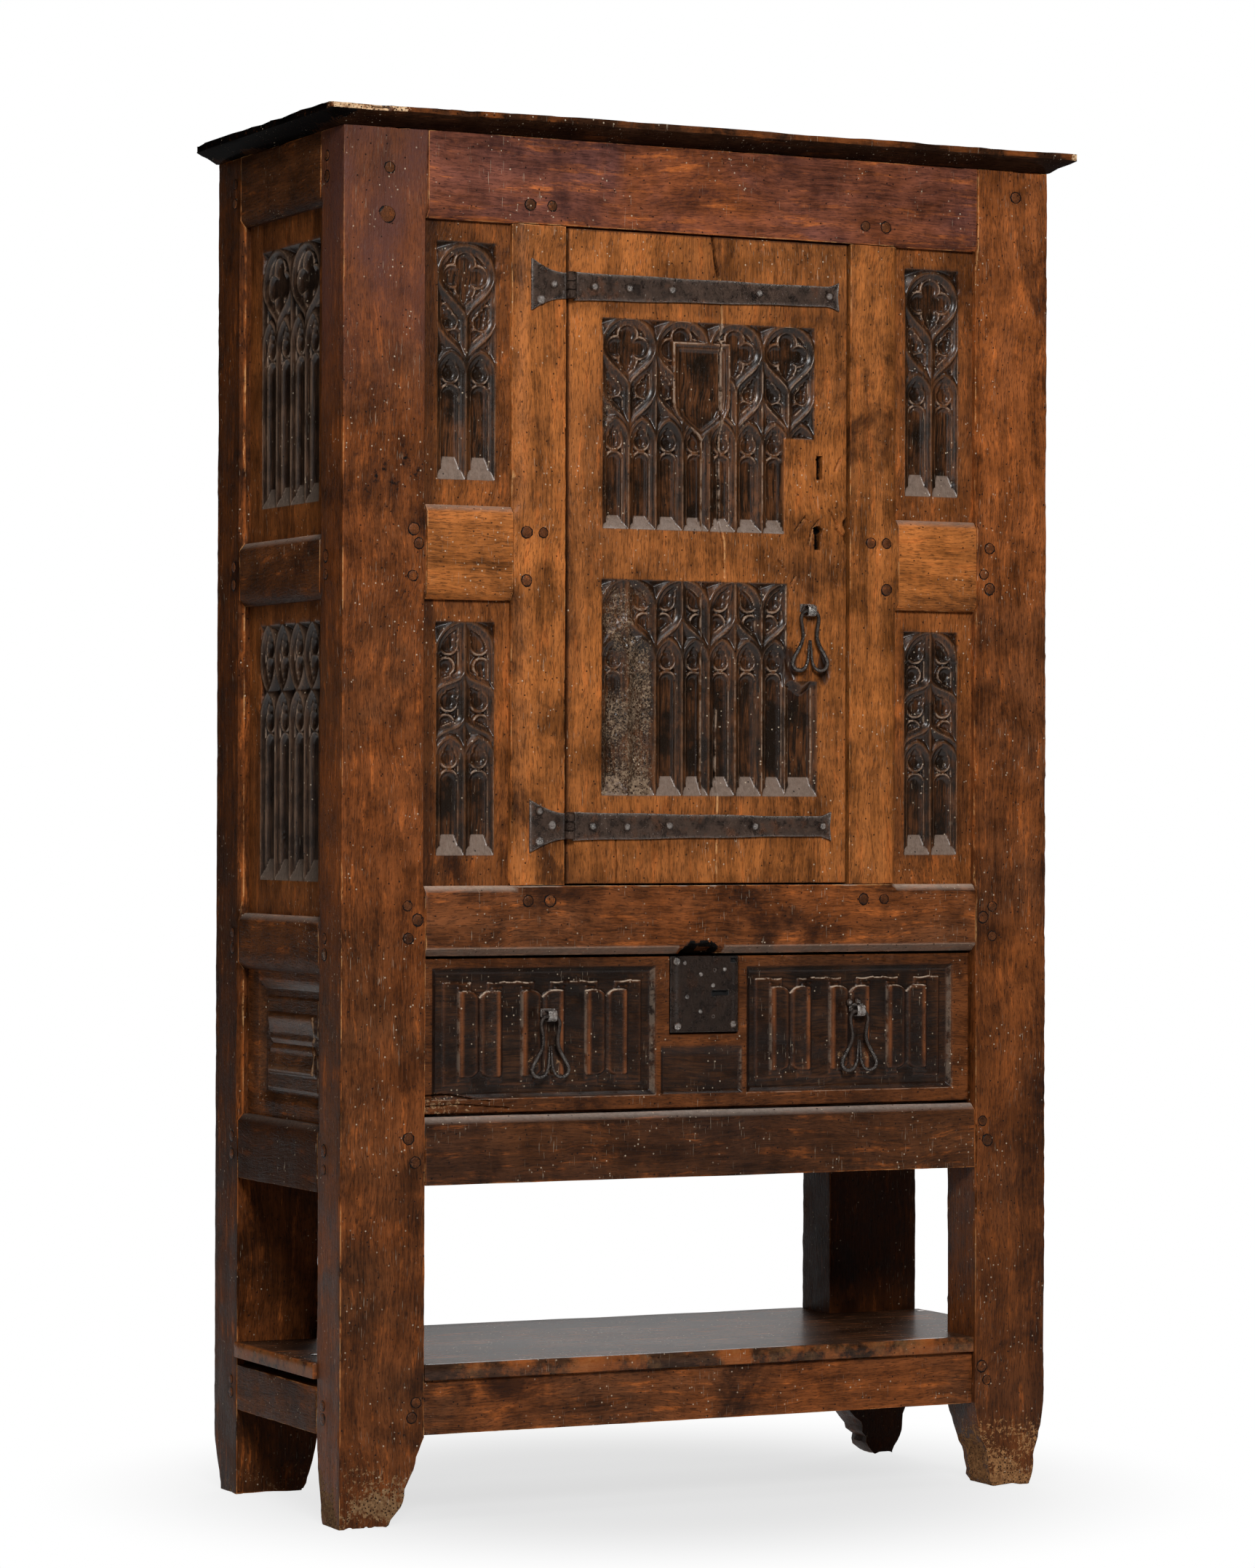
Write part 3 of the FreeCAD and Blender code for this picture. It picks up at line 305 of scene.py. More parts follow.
# Pale floor that fades to white away from the cupboard and keeps its shadow
def addFloor():
    cleared()
    bpy.ops.mesh.primitive_grid_add(x_subdivisions=8, y_subdivisions=8, size=16, location=(0, 0, -0.0005))
    floor = bpy.context.object
    floor.name = "floor"
    material = dull("paleFloor", room["floorTone"], 0.9)
    tree = material.node_tree
    glow = tree.nodes.new("ShaderNodeEmission")
    blend = tree.nodes.new("ShaderNodeMixShader")
    place = tree.nodes.new("ShaderNodeTexCoord")
    away = tree.nodes.new("ShaderNodeVectorMath")
    away.operation = "LENGTH"
    fade = tree.nodes.new("ShaderNodeMapRange")
    fade.interpolation_type = "SMOOTHSTEP"
    for key, value in (("From Min", room["fadeFrom"]), ("From Max", room["fadeTo"]),
            ("To Min", room["floorGlow"])):
        fade.inputs[key].default_value = value
    both = tree.nodes.new("ShaderNodeMath")
    both.operation = "MULTIPLY"
    tree.links.new(place.outputs["Object"], away.inputs[0])
    tree.links.new(away.outputs["Value"], fade.inputs["Value"])
    tree.links.new(fade.outputs["Result"], both.inputs[0])
    tree.links.new(seenRays(tree), both.inputs[1])
    tree.links.new(both.outputs[0], blend.inputs["Fac"])
    tree.links.new(tree.nodes["Principled BSDF"].outputs[0], blend.inputs[1])
    tree.links.new(glow.outputs[0], blend.inputs[2])
    tree.links.new(blend.outputs[0], tree.nodes["Material Output"].inputs["Surface"])
    floor.data.materials.append(material)


# Dark studio cloths out of the picture, which keep white glare off the polished front and left side
cloths = {
    "frontCloth": ((-6.5, -7.2, 0), (8.5, -7.2, 5.5)),
    "leftCloth": ((-6.5, -7.2, 0), (-6.5, 3.9, 5.5)),
    "rightCloth": ((8.5, -7.2, 0), (8.5, 1.5, 5.5)),
    "rearCloth": ((-6.5, 3.9, 0), (-0.6, 3.9, 5.5)),
    "roofCloth": ((-6.5, -7.2, 5.5), (8.5, 3.9, 5.5)),
}


def addCloth(name, low, high):
    cleared()
    centre = [(a + b) / 2 for a, b in zip(low, high)]
    span = [b - a for a, b in zip(low, high)]
    turn = (0, 0, 0) if span[2] == 0 else (math.radians(90), 0, math.radians(90) if span[0] == 0 else 0)
    bpy.ops.mesh.primitive_grid_add(x_subdivisions=4, y_subdivisions=4, size=1, location=centre,
        rotation=turn)
    cloth = bpy.context.object
    cloth.name = name
    cloth.scale = (span[0] or span[1], span[2] or span[1], 1)
    cloth.data.materials.append(dull(name, room["clothTone"], 1.0))
    cloth.visible_camera = False


bpy.context.scene.view_settings.view_transform = "Standard"
addCamera()
for lampName in ("key", "strip", "top", "roof", "rear"):
    addLamp(lampName)
addWorld()
addFloor()
for clothName, corners in cloths.items():
    addCloth(clothName, *corners)
print("camera, lamps and floor are in place")


# Finishes


# A colour given as on a screen, 0 to 255, in the renderer's own linear numbers
def tone(red, green, blue):
    return tuple((c / 255 / 12.92 if c < 11 else ((c / 255 + 0.055) / 1.055) ** 2.4)
        for c in (red, green, blue)) + (1,)


class Bench:
    # Puts shader nodes into one material and links them
    def __init__(self, name):
        self.material = bpy.data.materials.new(name)
        self.material.use_nodes = True
        self.tree = self.material.node_tree
        self.shader = self.tree.nodes["Principled BSDF"]
        self.place = self.node("TexCoord").outputs["Object"]

    def node(self, kind, **settings):
        found = self.tree.nodes.new("ShaderNode" + kind)
        for key, value in settings.items():
            setattr(found, key, value)
        return found

    def feed(self, socket, value):
        if isinstance(value, bpy.types.NodeSocket):
            self.tree.links.new(value, socket)
        else:
            socket.default_value = value

    def moved(self, scale, turn=(0, 0, 0), shift=(0, 0, 0), source=None):
        found = self.node("Mapping")
        self.feed(found.inputs["Vector"], source or self.place)
        found.inputs["Scale"].default_value = scale
        found.inputs["Rotation"].default_value = [math.radians(a) for a in turn]
        found.inputs["Location"].default_value = shift
        return found.outputs[0]

    def noise(self, place, scale, detail=3, roughness=0.55, distortion=0.0):
        found = self.node("TexNoise")
        self.feed(found.inputs["Vector"], place)
        for key, value in (("Scale", scale), ("Detail", detail), ("Roughness", roughness),
                ("Distortion", distortion)):
            found.inputs[key].default_value = value
        return found.outputs["Fac"]

    def cells(self, place, scale, output="Distance"):
        found = self.node("TexVoronoi")
        self.feed(found.inputs["Vector"], place)
        found.inputs["Scale"].default_value = scale
        return found.outputs[output]

    def spread(self, value, low, high, to=(0.0, 1.0), smooth=True):
        found = self.node("MapRange", interpolation_type="SMOOTHSTEP" if smooth else "LINEAR")
        self.feed(found.inputs["Value"], value)
        for key, number in (("From Min", low), ("From Max", high), ("To Min", to[0]), ("To Max", to[1])):
            found.inputs[key].default_value = number
        return found.outputs["Result"]

    def sum(self, kind, a, b=0.0, clamp=False):
        found = self.node("Math", operation=kind, use_clamp=clamp)
        self.feed(found.inputs[0], a)
        self.feed(found.inputs[1], b)
        return found.outputs[0]

    def times(self, a, b):
        return self.sum("MULTIPLY", a, b)

    def plus(self, a, b, clamp=False):
        return self.sum("ADD", a, b, clamp)

    def less(self, a, b):
        return self.sum("SUBTRACT", a, b)

    def mix(self, amount, a, b, kind="MIX"):
        found = self.node("Mix", data_type="RGBA", blend_type=kind)
        self.feed(found.inputs[0], amount)
        self.feed(found.inputs[6], a)
        self.feed(found.inputs[7], b)
        return found.outputs[2]

    def value(self, name):
        return self.node("Attribute", attribute_name=name).outputs["Fac"]

    def ramp(self, value, *stops):
        found = self.node("ValToRGB")
        self.feed(found.inputs["Fac"], value)
        band = found.color_ramp
        while len(band.elements) < len(stops):
            band.elements.new(0.5)
        for element, (place, colour) in zip(band.elements, stops):
            element.position, element.color = place, colour
        return found.outputs["Color"]

    def bump(self, height, distance, strength=1.0, normal=None):
        found = self.node("Bump")
        self.feed(found.inputs["Height"], height)
        found.inputs["Distance"].default_value = distance
        found.inputs["Strength"].default_value = strength
        if normal:
            self.feed(found.inputs["Normal"], normal)
        return found.outputs["Normal"]


# Old waxed oak: warm and cool patches, orange streaks, dark pores along the grain, stains, rubbed
# arrises with painted highlight lines, a darker carving, dust with painted sheen, painted shade, and
# pale worm-eaten wood where the rot value says so
def oak(name, axis, look):
    b = Bench(name)
    along = "xyz".index(axis)
    seed = look["seed"]

    def tint(key):
        return tone(*look[key])

    warp = b.noise(b.moved((1, 1, 1), shift=(seed, seed, seed)), 5, 2)
    bent = b.node("VectorMath", operation="MULTIPLY_ADD")
    b.feed(bent.inputs[0], warp)
    bent.inputs[1].default_value = [0.0 if i == along else 0.035 for i in range(3)]
    b.feed(bent.inputs[2], b.place)
    place = bent.outputs[0]

    def stretched(across, run, shift=0.0):
        return b.moved([run if i == along else across for i in range(3)],
            shift=(shift, shift * 2, shift * 3), source=place)

    def clear(value, low=0.38, high=0.62, to=(0.0, 1.0)):
        return b.spread(value, low, high, to, smooth=False)

    streak = clear(b.noise(stretched(46, 2.6, seed), 1, 4, 0.62))
    fibre = clear(b.noise(stretched(420, 26, seed), 1, 3, 0.6))
    pore = b.noise(stretched(760, 105, seed + 3), 1, 2, 0.5)
    mottle = b.noise(b.moved((1, 1, 1), shift=(seed, 0, seed)), 21, 6, 0.68)
    blotch = b.noise(b.moved((1, 1, 1), shift=(0, seed + 4, 0)), 4.2, 5, 0.62, 0.8)
    colour = b.mix(clear(blotch, 0.36, 0.6), tint("cool"), tint("warm"))
    orange = b.times(b.spread(b.noise(stretched(110, 13, seed + 8), 1, 4, 0.66), 0.53, 0.66),
        clear(mottle, 0.40, 0.56))
    colour = b.mix(b.times(orange, look["streaks"]), colour, tint("orange"))
    shade = b.plus(b.times(streak, 0.34), b.times(clear(mottle), 0.40))
    shade = b.plus(shade, b.times(fibre, 0.26))
    low, high = look["shade"]
    colour = b.mix(1.0, colour, b.ramp(shade, (0.1, (low, low, low, 1)), (0.9, (high, high, high, 1))),
        "MULTIPLY")
    stains = b.noise(b.moved((1, 1, 1), shift=(seed + 2, 1, seed)), 8, 6, 0.66, 0.5)
    colour = b.mix(b.spread(stains, *look["stainAt"], to=(0, look["stainUpTo"])), colour, tint("stainAndShade"))
    colour = b.mix(b.spread(pore, 0.54, 0.64, to=(0, look["pores"])), colour, tint("stainAndShade"))

    # the carving darker and polished, darker still in its hollows, its ridges rubbed brown
    carved, ridge, hollow = b.value("carved"), b.value("ridge"), b.value("hollow")
    deep = b.mix(b.times(fibre, clear(mottle, 0.42, 0.6)), tint("deep"), tint("deepLight"))
    colour = b.mix(carved, colour, deep)
    rubbed = b.times(ridge, clear(mottle, 0.36, 0.56, (0.3, 1)))
    colour = b.mix(b.times(rubbed, look["rub"]), colour, tint("ridge"))
    colour = b.mix(b.times(hollow, 0.8), colour, tint("stainAndShade"))

    # worn arrises and the warm wood beside them, and painted highlight lines on the carving in the shine
    # colour
    arris = b.value("arris")
    crumb = b.noise(b.place, 190, 4, 0.7)
    tip = b.mix(carved, tint("worn"), tint("shine"))
    rim = b.times(b.spread(arris, 0.15, 0.6), clear(mottle, 0.44, 0.58))
    rim = b.times(rim, b.less(1.0, carved))
    colour = b.mix(b.times(rim, 0.6), colour, tint("orange"))
    edge = b.times(b.spread(arris, 0.5, 0.9), clear(b.noise(b.place, 75, 3, 0.7), 0.40, 0.55))
    colour = b.mix(b.times(edge, look["edge"]), colour, tip)
    # dust with painted sheen: upward-facing chamfers and sills are painted pale grey
    dusty = b.times(b.value("dust"), clear(crumb, 0.30, 0.60, (0.65, 1.0)))
    colour = b.mix(dusty, colour, tint("dust"))
    # painted shade where the dim value says: the wood is darkened towards the stain colour
    colour = b.mix(b.times(b.value("dim"), 0.86), colour, tint("stainAndShade"))
    # soot, and painted shade: keyholes, holes, the broken hole and the rings round pegs go near black
    soot = b.value("soot")
    colour = b.mix(b.spread(b.plus(soot, b.times(b.less(crumb, 0.5), 1.4)), 0.35, 0.65), colour,
        tint("soot"))

    # pale worm-eaten wood
    rot = b.value("rot")
    holes = b.spread(b.cells(b.place, 300), 0.34, 0.18)
    pale = b.mix(clear(crumb, 0.36, 0.62), tint("rotDark"), tint("rotLight"))
    pale = b.mix(holes, pale, tint("stainAndShade"))
    eaten = b.spread(b.plus(rot, b.times(b.less(b.noise(b.place, look["crumbs"], 4, 0.72), 0.5), 2.0)),
        0.40, 0.62)
    colour = b.mix(eaten, colour, pale)

    # pale specks, dark pin holes and thin scratches
    few = clear(b.noise(b.place, 19, 3), 0.47, 0.58)
    speck = b.spread(b.cells(b.moved((1, 1, 1), turn=(20, 35, 0), shift=(seed, 1, 2)), 120), 0.14, 0.08)
    speck = b.times(speck, few)
    pin = b.spread(b.cells(b.moved((1, 1, 1), turn=(50, 15, 0), shift=(seed, 5, 2)), 95), 0.12, 0.08)
    scratch = b.spread(b.noise(b.moved((1100, 300, 60), turn=(0, 55, 0), shift=(seed, 0, 0)), 1, 1), 0.70,
        0.76)
    scratch = b.times(scratch, few)
    marks = b.sum("MAXIMUM", speck, b.times(scratch, 0.6))
    colour = b.mix(b.times(marks, look["marks"]), colour, tint("speck"))
    colour = b.mix(b.times(pin, 0.8), colour, tint("soot"))
    b.feed(b.shader.inputs["Base Color"], colour)

    gloss = clear(mottle, 0.36, 0.64, look["gloss"])
    gloss = b.plus(gloss, b.times(carved, look["carvedGloss"]))
    gloss = b.plus(gloss, b.times(eaten, 0.4), clamp=True)
    b.feed(b.shader.inputs["Roughness"], gloss)
    b.shader.inputs["Specular IOR Level"].default_value = look["specular"]
    polish = b.times(b.sum("MAXIMUM", b.times(carved, look["polish"]), look["wax"]), b.less(1.0, eaten))
    b.feed(b.shader.inputs["Coat Weight"], polish)
    b.shader.inputs["Coat Roughness"].default_value = look["waxRoughness"]

    relief = b.plus(b.times(fibre, 0.35), b.times(b.spread(pore, 0.52, 0.66), -0.5))
    relief = b.plus(relief, b.times(clear(crumb, 0.3, 0.7), 0.5))
    relief = b.plus(relief, b.times(b.times(holes, eaten), -1.6))
    relief = b.plus(relief, b.times(b.plus(pin, scratch), -0.8))
    b.feed(b.shader.inputs["Normal"], b.bump(relief, 0.0008, look["bump"]))
    return b.material


oakLook = {
    "cool": (92, 56, 34), "warm": (126, 70, 34), "orange": (172, 94, 42), "stainAndShade": (30, 16, 10),
    "deep": (27, 17, 9), "deepLight": (94, 56, 30), "ridge": (134, 88, 54), "worn": (206, 152, 98),
    "soot": (14, 11, 10), "rotDark": (84, 57, 38), "rotLight": (150, 116, 84), "dust": (124, 106, 94),
    "shine": (156, 132, 112), "speck": (214, 194, 168), "seed": 1, "shade": (0.42, 1.58), "streaks": 0.55,
    "stainAt": (0.55, 0.70), "stainUpTo": 0.8, "pores": 0.5, "rub": 0.42, "edge": 0.75, "crumbs": 190,
    "marks": 0.6, "gloss": (0.36, 0.56), "carvedGloss": -0.10, "specular": 0.08, "polish": 0.43,
    "wax": 0.03, "waxRoughness": 0.25, "bump": 0.6,
}
postLook = dict(oakLook, shade=(0.34, 1.68), streaks=0.45, rotDark=(92, 64, 42), rotLight=(146, 112, 78),
    dust=(90, 56, 48), cool=(84, 50, 28), warm=(112, 60, 27), seed=2.0)
rightPostLook = dict(oakLook, rotDark=(104, 68, 42), rotLight=(172, 124, 80), shade=(0.30, 1.72),
    cool=(100, 58, 32), warm=(130, 72, 34), seed=3.0)
rearPostLook = dict(oakLook, wax=0.01, specular=0.04, shade=(0.30, 1.72), cool=(62, 34, 16),
    warm=(84, 44, 18), streaks=0.4, seed=4.0)
railLook = dict(oakLook, shade=(0.30, 1.72), dust=(168, 148, 132), cool=(90, 54, 32), warm=(120, 66, 32),
    seed=5.0)
lowRailLook = dict(oakLook, dust=(150, 136, 126), cool=(58, 36, 24), warm=(80, 47, 26), streaks=0.35,
    seed=6.0)
topRailLook = dict(oakLook, shade=(0.30, 1.72), cool=(96, 58, 50), warm=(118, 64, 36), stainAndShade=(44, 26, 26),
    stainAt=(0.50, 0.68), seed=7.0)
sideRailLook = dict(oakLook, wax=0.0, specular=0.03, dust=(150, 136, 126), cool=(72, 43, 25),
    warm=(95, 55, 29), streaks=0.4, seed=8.0)
muntinLook = dict(oakLook, shade=(0.36, 1.66), cool=(134, 80, 40), warm=(162, 96, 46), seed=9.0)
crossLook = dict(muntinLook, seed=10.0)
doorLook = dict(oakLook, shade=(0.36, 1.66), cool=(124, 74, 38), warm=(152, 90, 43), stainAt=(0.57, 0.74),
    rotDark=(66, 49, 37), rotLight=(142, 120, 98), crumbs=430, seed=11.0)
sidePanelLook = dict(oakLook, cool=(98, 56, 28), warm=(132, 76, 36), polish=0.35, waxRoughness=0.34,
    ridge=(128, 104, 86), rub=0.8, deep=(34, 23, 16), deepLight=(84, 60, 44), dust=(116, 100, 88),
    seed=29.0)
panelLook = dict(oakLook, cool=(98, 56, 28), warm=(132, 76, 36), rotDark=(78, 60, 46),
    rotLight=(168, 150, 130), seed=13.0)
smallPanelLook = dict(oakLook, polish=0.3, cool=(80, 47, 25), warm=(106, 61, 31), deep=(38, 24, 14),
    deepLight=(92, 58, 34), rub=0.6, seed=14.0)
shelfLook = dict(oakLook, cool=(52, 36, 27), warm=(72, 47, 32), gloss=(0.5, 0.7), specular=0.0, wax=0.26,
    waxRoughness=0.24, streaks=0.3, edge=0.3, seed=15.0)
topLook = dict(oakLook, cool=(50, 34, 25), warm=(70, 43, 26), rotDark=(150, 108, 74),
    rotLight=(226, 192, 152), specular=0.0, streaks=0.22, seed=17.0)
plainLook = dict(oakLook, cool=(92, 66, 44), warm=(122, 84, 50), gloss=(0.55, 0.7), marks=0.3, seed=19.0)
drawerLook = dict(oakLook, cool=(70, 41, 23), warm=(100, 56, 28), orange=(132, 74, 36),
    ridge=(134, 78, 44), worn=(158, 134, 114), edge=1.0, deep=(18, 12, 8), deepLight=(62, 39, 23),
    shine=(178, 156, 136), rub=0.9, polish=0.22, seed=21.0)
pegWood = dict(oakLook, cool=(82, 50, 30), warm=(112, 64, 34), seed=23.0)

finishes = {
    "post": oak("oakPosts", "z", postLook), "rightPost": oak("oakRightPost", "z", rightPostLook),
    "rearPost": oak("oakRearPosts", "z", rearPostLook), "rail": oak("oakRails", "x", railLook),
    "lowRail": oak("oakLowRail", "x", lowRailLook), "crossRail": oak("oakCrossRails", "x", crossLook),
    "topRail": oak("oakTopRail", "x", topRailLook), "muntin": oak("oakMuntins", "z", muntinLook),
    "sideRail": oak("oakSideRails", "y", sideRailLook), "door": oak("oakDoor", "z", doorLook),
    "panel": oak("oakPanels", "z", panelLook), "sidePanel": oak("oakSidePanels", "z", sidePanelLook),
    "smallPanel": oak("oakSmallPanels", "y", smallPanelLook), "shelf": oak("oakShelf", "x", shelfLook),
    "top": oak("oakTop", "x", topLook), "plain": oak("oakPlain", "x", plainLook),
    "plainUpright": oak("oakPlainUpright", "z", plainLook),
    "plainDeep": oak("oakPlainDeep", "y", plainLook), "drawer": oak("oakDrawerFront", "x", drawerLook),
    "peg": oak("oakPegs", "y", pegWood),
}

ironLook = {"dark": (30, 22, 18), "mid": (80, 63, 53), "rust": (96, 62, 42), "bright": (196, 190, 184),
    "soot": (5, 4, 4)}


# Forged iron: hammered, dark, with thin rust, small pits and rubbed edges
def forged(name, look):
    b = Bench(name)

    def tint(key):
        return tone(*look[key])

    cloud = b.noise(b.place, 60, 5, 0.68)
    pits = b.noise(b.place, 330, 4, 0.72)
    colour = b.ramp(cloud, (0.34, tint("dark")), (0.60, tint("mid")))
    colour = b.mix(b.spread(pits, 0.44, 0.34, to=(0, 0.5)), colour, tint("dark"))
    colour = b.mix(b.spread(b.noise(b.place, 42, 4, 0.7), 0.54, 0.66, to=(0, 0.6)), colour, tint("rust"))
    edge = b.times(b.value("arris"), b.spread(pits, 0.38, 0.58, to=(0.35, 1)))
    colour = b.mix(b.times(edge, 0.7), colour, tint("bright"))
    speck = b.times(b.spread(b.cells(b.place, 170), 0.12, 0.06), b.spread(cloud, 0.45, 0.55))
    colour = b.mix(b.times(speck, 0.5), colour, tint("bright"))
    # darker iron where the dim value says, with painted shade at the foot of turned heads
    colour = b.mix(b.times(b.value("dim"), 0.8), colour, tint("dark"))
    # painted shade: holes are painted black and matte where the soot value says
    colour = b.mix(b.value("soot"), colour, tint("soot"))
    b.feed(b.shader.inputs["Base Color"], colour)
    b.feed(b.shader.inputs["Metallic"], b.spread(b.value("soot"), 0.2, 0.6, to=(0.85, 0)))
    b.feed(b.shader.inputs["Roughness"], b.plus(b.spread(cloud, 0.38, 0.62, to=(0.24, 0.44)),
        b.times(b.value("soot"), 0.5), clamp=True))
    relief = b.plus(b.times(cloud, 1.2), b.times(b.spread(pits, 0.35, 0.65), 0.9))
    b.feed(b.shader.inputs["Normal"], b.bump(relief, 0.0008, 0.8))
    return b.material


iron = forged("forgedIron", ironLook)
print("finishes are mixed")


# Timbers

wear = {"round": 2, "swell": 0.5, "nick": 2.2, "step": 9}

# Openings between the front timbers: left, right, bottom, top, and how wide each side's chamfer is
chamferDepth = 8.0
frontOpenings = [
    (x0, x1, z0, z1, left, right, 8, 8)
    for x0, x1, left, right in ((-345.5, -241, 4, 8), (248, 352.5, 8, 4))
    for z0, z1 in ((702, 1018), (1123, 1438))
]
sideOpenings = [
    (-113, 127, z0, z1, 4, 4, 8, 8)
    for z0, z1 in ((437, 603), (667, 1018), (1091, 1454))
]
# Outer faces: axis and level
outerFaces = {"front": (1, -179), "left": (0, -446.5), "right": (0, 446.5)}


# How deep the chamfers round the openings cut at a spot of the face
def funnel(across, up, openings):
    deep = np.zeros(len(across))
    for x0, x1, z0, z1, left, right, bottom, top in openings:
        beyond = highest((x0 - across) / left, (across - x1) / right, (z0 - up) / bottom, (up - z1) / top,
            0)
        deep = maximum(deep, chamferDepth * bounded(1 - beyond))
    return deep


def cutRows(axis, places):
    for place in places:
        bpy.ops.mesh.select_all(action="SELECT")
        co, no = [0, 0, 0], [0, 0, 0]
        co[axis], no[axis] = place * mm, 1
        bpy.ops.mesh.bisect(plane_co=co, plane_no=no, threshold=1e-6)


# Cuts every long run along an axis into short steps
def divideRuns(piece, axis, step, least=12.0):
    mesh = bmesh.from_edit_mesh(piece.data)
    runs = {}
    for edge in mesh.edges:
        a, b = edge.verts
        length = abs(a.co[axis] - b.co[axis]) / mm
        if length > least and length * mm > 0.999 * edge.calc_length():
            runs[round(min(a.co[axis], b.co[axis]) / mm, 1)] = length

    def fits(edge, start, length):
        a, b = edge.verts
        low, run = min(a.co[axis], b.co[axis]) / mm, abs(a.co[axis] - b.co[axis]) / mm
        return abs(low - start) < 0.06 and abs(run - length) < 0.06

    for start, length in runs.items():
        mesh = bmesh.from_edit_mesh(piece.data)
        for edge in mesh.edges:
            edge.select_set(False)
            if fits(edge, start, length):
                edge.select_set(True)
        for edge in mesh.edges:
            if not fits(edge, start, length):
                edge.select = False
        bmesh.update_edit_mesh(piece.data)
        bpy.ops.mesh.subdivide(number_cuts=max(1, min(99, round(length / step) - 1)))


# One sawn and planed length of oak between two corners, in rows fine enough to wear
def blank(low, high, axis, rows=(), step=None):
    low, high = asArrays(low, high)
    piece = boxBetween(low, high)
    bpy.ops.object.mode_set(mode="EDIT")
    bpy.ops.mesh.select_mode(type="EDGE")
    for i in range(3):
        size = high[i] - low[i]
        near = [d for d in (wear["round"], 8.0) if d < size / 2.2]
        places = {round(low[i] + d, 2) for d in near} | {round(high[i] - d, 2) for d in near}
        places |= {place for side, place in rows if side == i and low[i] + 1 < place < high[i] - 1}
        if i != axis and size > 60:
            places |= {round(low[i] + size * k / math.ceil(size / 30), 2)
                for k in range(1, math.ceil(size / 30))}
        if i == axis:
            places |= {round(low[i] + size * k / math.ceil(size / 700), 2)
                for k in range(1, math.ceil(size / 700))}
        kept = []
        for place in sorted(places):
            if all(abs(place - other) > 1.2 for other in kept):
                kept.append(place)
        cutRows(i, kept)
    divideRuns(piece, axis, step or wear["step"])
    closed()
    return piece


# Rounds the arrises, lets them wear and makes the faces a little uneven, only ever inwards
def weather(piece, low, high, axis, nick=1.0, soft=1.0, seed=0):
    low, high = asArrays(low, high)
    co = pointsOf(piece)
    fromLow, fromHigh = co - low, high - co
    near = minimum(fromLow, fromHigh)
    inward = where(fromLow < fromHigh, 1.0, -1.0)
    spots = co + 1000 + seed * 37
    along = [14.0] * 3
    along[axis] = 40.0
    chips = bounded(rough(spots, along, seed + 3) - 0.45) * wear["nick"] * 2 * nick
    fine = clip(0.7 + 0.6 * swell(spots, 7, seed + 5), 0.2, 1.4)
    radius = wear["round"] * soft
    pull = radius * 0.29 * fine + chips
    onFace = near < 0.01
    edges = onFace.sum(1) >= 2
    shift = np.zeros_like(co)
    for i in range(3):
        shift[:, i] = where(edges & onFace[:, i], pull * inward[:, i], 0)
    dips = bounded(0.5 + 0.5 * rough(spots, 70, seed + 7, 2)) * wear["swell"]
    for i in range(3):
        shift[:, i] += where(onFace[:, i] & ~edges, dips * inward[:, i], 0)
        shift[:, i] += where(onFace[:, i] & edges, dips * inward[:, i] * 0.5, 0)
    second = np.sort(near, axis=1)[:, 1]
    setPoints(piece, co + shift)
    setValues(piece, arris=exp(-second / 1.6) * clip(0.75 + 0.5 * rough(spots, along, seed + 9), 0.2, 1))
    return piece


# Cuts the chamfers round the openings into one outer face of a timber
def sunk(piece, face):
    co = pointsOf(piece)
    axis, level = outerFaces[face]
    deep = funnel(co[:, 1 - axis], co[:, 2], frontOpenings if face == "front" else sideOpenings)
    cut = minimum(co[:, axis], level - deep) if face == "right" else maximum(co[:, axis], level + deep)
    co[:, axis] = where(abs(co[:, axis] - level) < 12, cut, co[:, axis])
    setPoints(piece, co)


def merged(piece, distance=0.25):
    opened(piece)
    bpy.ops.mesh.remove_doubles(threshold=distance * mm)
    bpy.ops.mesh.dissolve_degenerate(threshold=0.02 * mm)
    closed()


def levelRows(openings):
    return [(2, z) for x0, x1, z0, z1, *run in openings
        for z in (z0 - chamferDepth, z0, z1, z1 + chamferDepth)]


# Rows of vertices where the chamfers start and end: axis and place
frontRows = [(0, x) for x in (-349.5, -241.0, -233.0, 240.0, 248.0, 356.5)] + [(1, -171.0)]
frontRows += levelRows(frontOpenings)
sideRows = [(1, y) for y in (-117.0, 131.0)] + [(0, x) for x in (-438.5, 438.5)] + levelRows(sideOpenings)
sideLevels = {"top": (1454, 1535), "cross": (1018, 1091), "middle": (603, 667), "bottom": (363, 437)}
sideWalls = {"left": (-446.5, -408.5), "right": (408.5, 446.5)}

